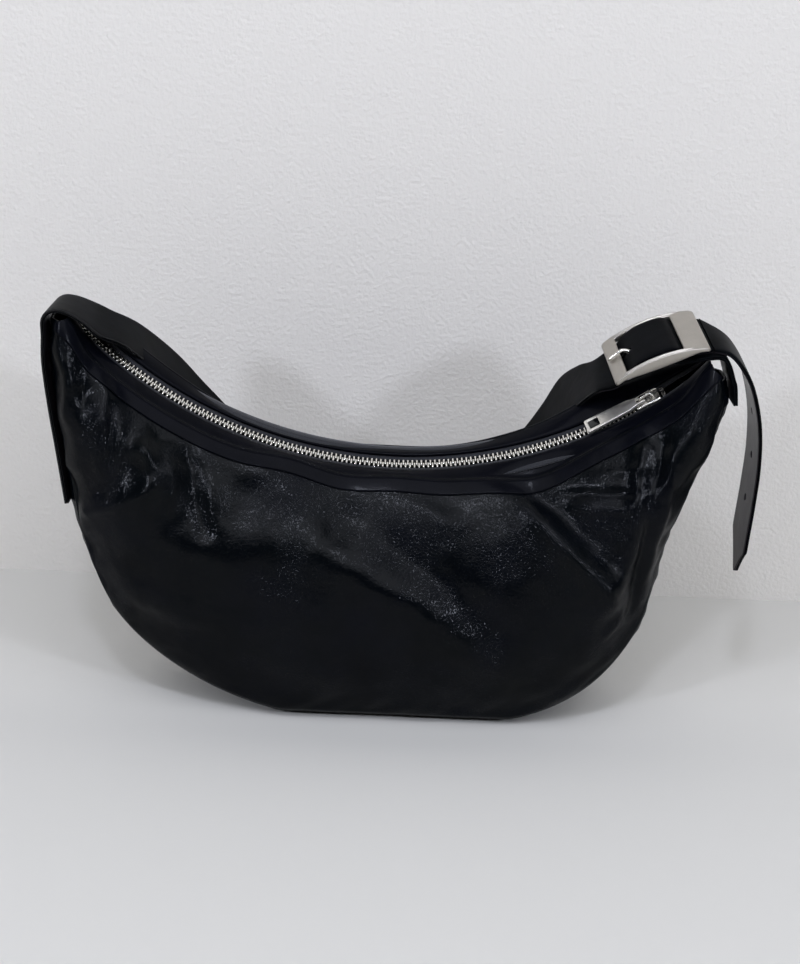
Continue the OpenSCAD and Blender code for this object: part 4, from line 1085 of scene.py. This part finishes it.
# %% [markdown]
# The chape is a doubled strip of the same leather. It comes from the right tip, wraps the
# buckle's centre bar and goes back, with a slot in the fold for the prong's ring. Its path goes
# out along the rows on one side of their middle, round the bar, and back on the other side.

# %% Chape
BAR_DROP, WRAP_R, WRAP_STEPS, CHAPE_PLY = 4.5, 2.2, 25, 0.6
edge = on_buckle(24.25, under_bar(RUN_END) - 5.05)
HALF_ROLLED = [edge[0], edge[1] / 2, edge[2], 0, 1, edge[5] / 2]
CHAPE_TIP = [0.955 * HALF_W, 0, 0.975 * TIP_H, 0, 1, 0.06]
CHAPE = np.array([on_buckle(1.5, -BAR_DROP - 2.85 + 1.2), on_buckle(13.5, under_bar(13.5) - 5.05),
                  HALF_ROLLED, CHAPE_TIP] + [band_row(t, 2.4) for t in (1, 0.97, 0.94)])
p, across, up = frame_along(CHAPE, np.linspace(0, len(CHAPE) - 1, 70))
turn = np.radians(np.linspace(262, 2, WRAP_STEPS))[:, None]
round_bar = np.cos(turn) * BUCKLE_AXES[0] + np.sin(turn) * BUCKLE_AXES[2]
wrap = BUCKLE_AT + BUCKLE_AXES[2] * -BAR_DROP + WRAP_R * round_bar
path = np.concatenate([(p - CHAPE_PLY * up)[:1:-1], wrap, (p + CHAPE_PLY * up)[6:]])
sides = np.concatenate([across[:1:-1], np.repeat(BUCKLE_AXES[1:2], WRAP_STEPS, 0), across[6:]])
lift = unit(np.cross(np.gradient(path, axis=0), sides))
chape = sweep("chape_leather", path, sides, lift, round_profile(34, -0.57, 0.57, 0.4))
slot_plan = [(-6, -2), (5, -2), (5, 2), (-6, 2)]
carve(chape, extrude_plan("chape_slot_cutter", slot_plan, -12, 12, BUCKLE_AT, BUCKLE_AXES))
dress(chape, "bag", strap_leather, "smooth_leather", "chape")
print("chape:", len(chape.data.polygons), "faces")

# %% [markdown]
# The buckle is a cast frame, arched from end to end, with a centre bar between its deep rails.
# Its outline runs round with rounded corners; at each place a cross-section goes from the outer
# wall over a rolled edge and a shallow groove to the inner wall, so light breaks on the rails.
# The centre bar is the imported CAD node, whose plain rod is right as it is.


# %% Buckle frame
def corner_loop(x0, x1, y0, y1, radius, corner=7, side=14):
    """Closed loop round a rounded rectangle, with the same count of points for any size."""
    loop = []
    centres = [(x1 - radius, y1 - radius), (x0 + radius, y1 - radius),
               (x0 + radius, y0 + radius), (x1 - radius, y0 + radius)]
    for k, (cx, cy) in enumerate(centres):
        q = np.radians(90 * k) + np.linspace(0, np.pi / 2, corner)
        loop += [(cx + radius * np.cos(a), cy + radius * np.sin(a)) for a in q]
        nx, ny = centres[(k + 1) % 4]
        end = np.radians(90 * (k + 1))
        start, stop = np.array(loop[-1]), np.array([nx + radius * np.cos(end), ny + radius * np.sin(end)])
        loop += [tuple(start + (stop - start) * f) for f in np.linspace(0, 1, side + 2)[1:-1]]
    return np.array(loop)


def ring(name, loops):
    """A closed ring of closed cross-sections (n, k, 3)."""
    n, k = loops.shape[:2]
    cell = np.arange(n * k).reshape(n, k)
    after = np.roll(cell, -1, 0)
    quads = np.stack([cell, after, np.roll(after, -1, 1), np.roll(cell, -1, 1)], -1).reshape(-1, 4)
    return mesh_object(name, loops, quads.tolist())


outer = corner_loop(-FRAME_END, FRAME_END, -21.5, 21.5, 1.5)
inner = corner_loop(-18.5, 13.5, -18.1, 18.1, 0.6)
share = np.array([0, 0.02, 0.07, 0.16, 0.3, 0.38, 0.5, 0.62, 0.7, 0.84, 0.93, 0.98, 1])
edge = np.array([0.9, 0.55, 0.22, 0.04, 0, 0, 0, 0, 0, 0.04, 0.22, 0.55, 0.9])
groove = np.array([0, 0, 0, 0, 0, 0.5, 0.75, 0.5, 0, 0, 0, 0, 0])
on_rail = np.clip((np.abs(outer[:, 1]) - 19) / 2.4, 0, 1)[:, None]
rail = on_rail * np.clip((26 - np.abs(outer[:, 0])) / 4, 0, 1)[:, None]
plan = outer[:, None] + (inner - outer)[:, None] * share[:, None]
upper = arch_z(plan[..., 0]) - edge - groove * rail
bar_low = arch_z(plan[..., 0]) - 2.5
rail_low = np.minimum(bar_low, -6.25 + (plan[..., 0] / FRAME_END) ** 2 * 1.25)
deep = np.clip((np.abs(plan[..., 1]) - 17.6) / 0.8, 0, 1)
lower = bar_low * (1 - deep) + rail_low * deep + 0.5 * edge
section = np.concatenate([np.dstack([plan, upper]), np.dstack([plan, lower])[:, ::-1]], 1)
buckle = tidy_normals(ring("buckle_frame_cast", set_on(section, BUCKLE_AT, *BUCKLE_AXES)))
dress(buckle, "buckle", satin_nickel, "buckle_metal", "buckle_frame")
dress(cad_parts["buckle_centre_bar"], None, satin_nickel, "buckle_metal")
print("buckle:", len(buckle.data.polygons), "faces")

# %% [markdown]
# The prong is a round pin with a ring on the centre bar. It comes up through a small oval
# hole in the strap, bends over the first bar and ends in a dome.

# %% Prong
PIN_R, COLLAR_STEPS = 1.1, [(-1.5, 1.6), (-1.3, 2.65), (-0.8, 2.85), (0.8, 2.85), (1.3, 2.65), (1.5, 1.6)]
stem_rows = [(-2.4, -4.2), (-6, -4.35), (-9.8, -4.3), (-12.6, -3.3), (-14.8, -1.6), (-17, -0.6)]
tip_x = np.linspace(-17.8, -24.9, 12)
over_bar = np.stack([tip_x, arch_z(tip_x) + 1.6], -1)
line = np.concatenate([rows_at(stem_rows, np.linspace(0, 1, 22)), over_bar])
dome = np.linspace(0, np.pi / 2, 7)[1:]
radius = np.concatenate([np.full(len(line), PIN_R), PIN_R * np.cos(dome).clip(0.03)])
radius[0] = 1.3
line = np.concatenate([line, line[-1] + PIN_R * np.sin(dome)[:, None] * unit(line[-1] - line[-2])])
dirs = unit(np.gradient(line, axis=0))
circle = full_turn(20)
rise = np.stack([-dirs[:, 1], dirs[:, 0]], -1)
out, aside = radius[:, None] * np.sin(circle), radius[:, None] * np.cos(circle)
along, height = line[:, None, 0] + out * rise[:, None, 0], line[:, None, 1] + out * rise[:, None, 1]
loops = np.stack([along, aside, height], -1)
pin = tidy_normals(loft("prong_pin", set_on(loops, BUCKLE_AT, *BUCKLE_AXES)))
dress(pin, "prong", nickel, "buckle_metal", "buckle_prong")
wide, spin = np.array(COLLAR_STEPS), full_turn(36)[:, None]
along, height = wide[:, 1] * np.cos(spin), wide[:, 1] * np.sin(spin) - BAR_DROP
around = np.stack([along, wide[:, 0] + 0 * spin, height], -1)
collar = tidy_normals(ring("prong_ring", set_on(around, BUCKLE_AT, *BUCKLE_AXES)))
dress(collar, "prong", satin_nickel, "buckle_metal")
print("prong:", len(pin.data.polygons) + len(collar.data.polygons), "faces")

# %% [markdown]
# A pale table stands against a plastered wall, 156 mm behind the bag's middle, as in the
# photograph. Mirrors and patent leather show what is around them, so this real corner is what
# makes the metal bright and the lips of the mouth grey. Far from the bag both turn into one flat
# pale tone for camera and glossy rays, so that no horizon shows in other views, and from behind
# the wall is open. The rest of the room is dim, which keeps the leather black.


# %% Table, wall and room
PALE, WALL_Y, FAR = "#DCDDDD", 156, 9000


def pale_surface(name, code, grain_mm, depth_mm):
    """Matt paint or plaster that turns into a flat tone between 0.45 and 1.4 m from the bag."""
    material, tree, shader, place = new_material(name)
    grain = add(tree, "TexNoise", {"Vector": place, "Scale": per_mm(grain_mm), "Detail": 3})
    relief = add(tree, "Bump", {"Height": grain, "Distance": depth_mm * MM, "Strength": 1.0})
    fill(tree, shader, {"Base Color": tone(code), "Roughness": 0.7, "Specular IOR Level": 0.2})
    fill(tree, shader, {"Normal": relief})
    away = add(tree, "VectorMath", {0: place}, "Value", operation="LENGTH")
    far = add(tree, "MapRange", {0: away, 1: 0.45, 2: 1.4})
    camera_ray, glossy_ray = (add(tree, "LightPath", {}, ray) for ray in ("Is Camera Ray", "Is Glossy Ray"))
    seen = add(tree, "Math", {0: camera_ray, 1: glossy_ray}, operation="MAXIMUM")
    share = add(tree, "Math", {0: far, 1: seen}, operation="MULTIPLY")
    flat = add(tree, "Emission", {"Color": tone(PALE), "Strength": 1.0})
    front = add(tree, "MixShader", {0: share, 1: shader.outputs[0], 2: flat})
    behind = add(tree, "NewGeometry", {}, "Backfacing")
    both = add(tree, "MixShader", {0: behind, 1: front, 2: add(tree, "BsdfTransparent", {})})
    tree.links.new(both, tree.nodes["Material Output"].inputs["Surface"])
    return material


corners = [(-FAR, -FAR, 0), (FAR, -FAR, 0), (FAR, FAR, 0), (-FAR, FAR, 0)]
floor = mesh_object("floor", corners, [(0, 1, 2, 3)], False)
floor.data.materials.append(pale_surface("painted_table", "#D3D1CA", 1.4, 0.01))
corners = [(-FAR, WALL_Y, 0), (FAR, WALL_Y, 0), (FAR, WALL_Y, FAR), (-FAR, WALL_Y, FAR)]
wall = mesh_object("wall", corners, [(0, 1, 2, 3)], False)
wall.data.materials.append(pale_surface("plastered_wall", "#E3DFD7", 2.6, 0.75))
world = bpy.data.worlds.new("studio")
bpy.context.scene.world = world
world.use_nodes = True
tree = world.node_tree
room = tree.nodes["Background"]
fill(tree, room, {"Color": tone("#CDCFD2"), "Strength": 0.1})
backdrop = add(tree, "Background", {"Color": tone(PALE), "Strength": 1.0})
seen = add(tree, "LightPath", {}, "Is Camera Ray")
both = add(tree, "MixShader", {0: seen, 1: room.outputs[0], 2: backdrop})
tree.links.new(both, tree.nodes["World Output"].inputs["Surface"])
print("stage:", floor.name, "and", wall.name, WALL_Y, "mm behind the middle")

# %% [markdown]
# A wide ceiling panel lights everything softly. Three small cool windows add little light, but
# on patent leather each one is a sharp glint, and that is what draws the folds. A lamp is an area
# light, turned so that its own -Z looks at a point near the bag. All places are in metres.


# %% Lamps
def soft_light(name, place, aim, size, power, code):
    """A rectangular area light at a place, aimed at a point."""
    light = bpy.data.lights.new(name, "AREA")
    light.shape, light.size, light.size_y, light.energy = "RECTANGLE", size[0], size[1], power
    light.color = tone(code)[:3]
    lamp = bpy.data.objects.new(name, light)
    bpy.context.scene.collection.objects.link(lamp)
    lamp.location = place
    lamp.rotation_euler = (Vector(aim) - Vector(place)).to_track_quat("-Z", "Y").to_euler()
    return lamp


panel = soft_light("ceiling_panel", (0.1, -1.25, 1.9), (0, 0.1, 0.15), (2.8, 1.9), 36, "#F2F5FF")
windows = [soft_light(f"window_{k}", (x, -1.0, z), (0, 0, 0.12), (0.12, 0.12), power, "#E6ECFF")
           for k, (x, z, power) in enumerate(((-0.85, 0.75, 5.0), (0.95, 0.7, 5.0), (-0.1, 1.45, 4.3)))]
print("lamps:", panel.name, *(lamp.name for lamp in windows))

# %% [markdown]
# The camera stands straight ahead and 20 degrees up, at 0.9 m, and is turned a little about its
# own axis, because the photograph's table line isn't level. The lens then gives the bag the width
# that it has in the photograph. The view is Standard, so that tones come out as they are written.

# %% Camera
CAMERA_UP, CAMERA_ROLL, CAMERA_AWAY, LENS = 20, 2.4, 0.9, 73
camera = bpy.data.objects.new("camera", bpy.data.cameras.new("camera"))
bpy.context.scene.collection.objects.link(camera)
bpy.context.scene.camera = camera
target, up = Vector((0.0083, 0, 0.1305)), np.radians(CAMERA_UP)
camera.location = target + Vector((0, -np.cos(up), np.sin(up))) * CAMERA_AWAY
look = (target - camera.location).to_track_quat("-Z", "Y").to_matrix()
camera.rotation_euler = (look @ Matrix.Rotation(np.radians(CAMERA_ROLL), 3, "Z")).to_euler()
camera.data.sensor_fit, camera.data.sensor_width, camera.data.lens = "HORIZONTAL", 36, LENS
bpy.context.scene.view_settings.view_transform = "Standard"
print("camera at", [round(v, 3) for v in camera.location])
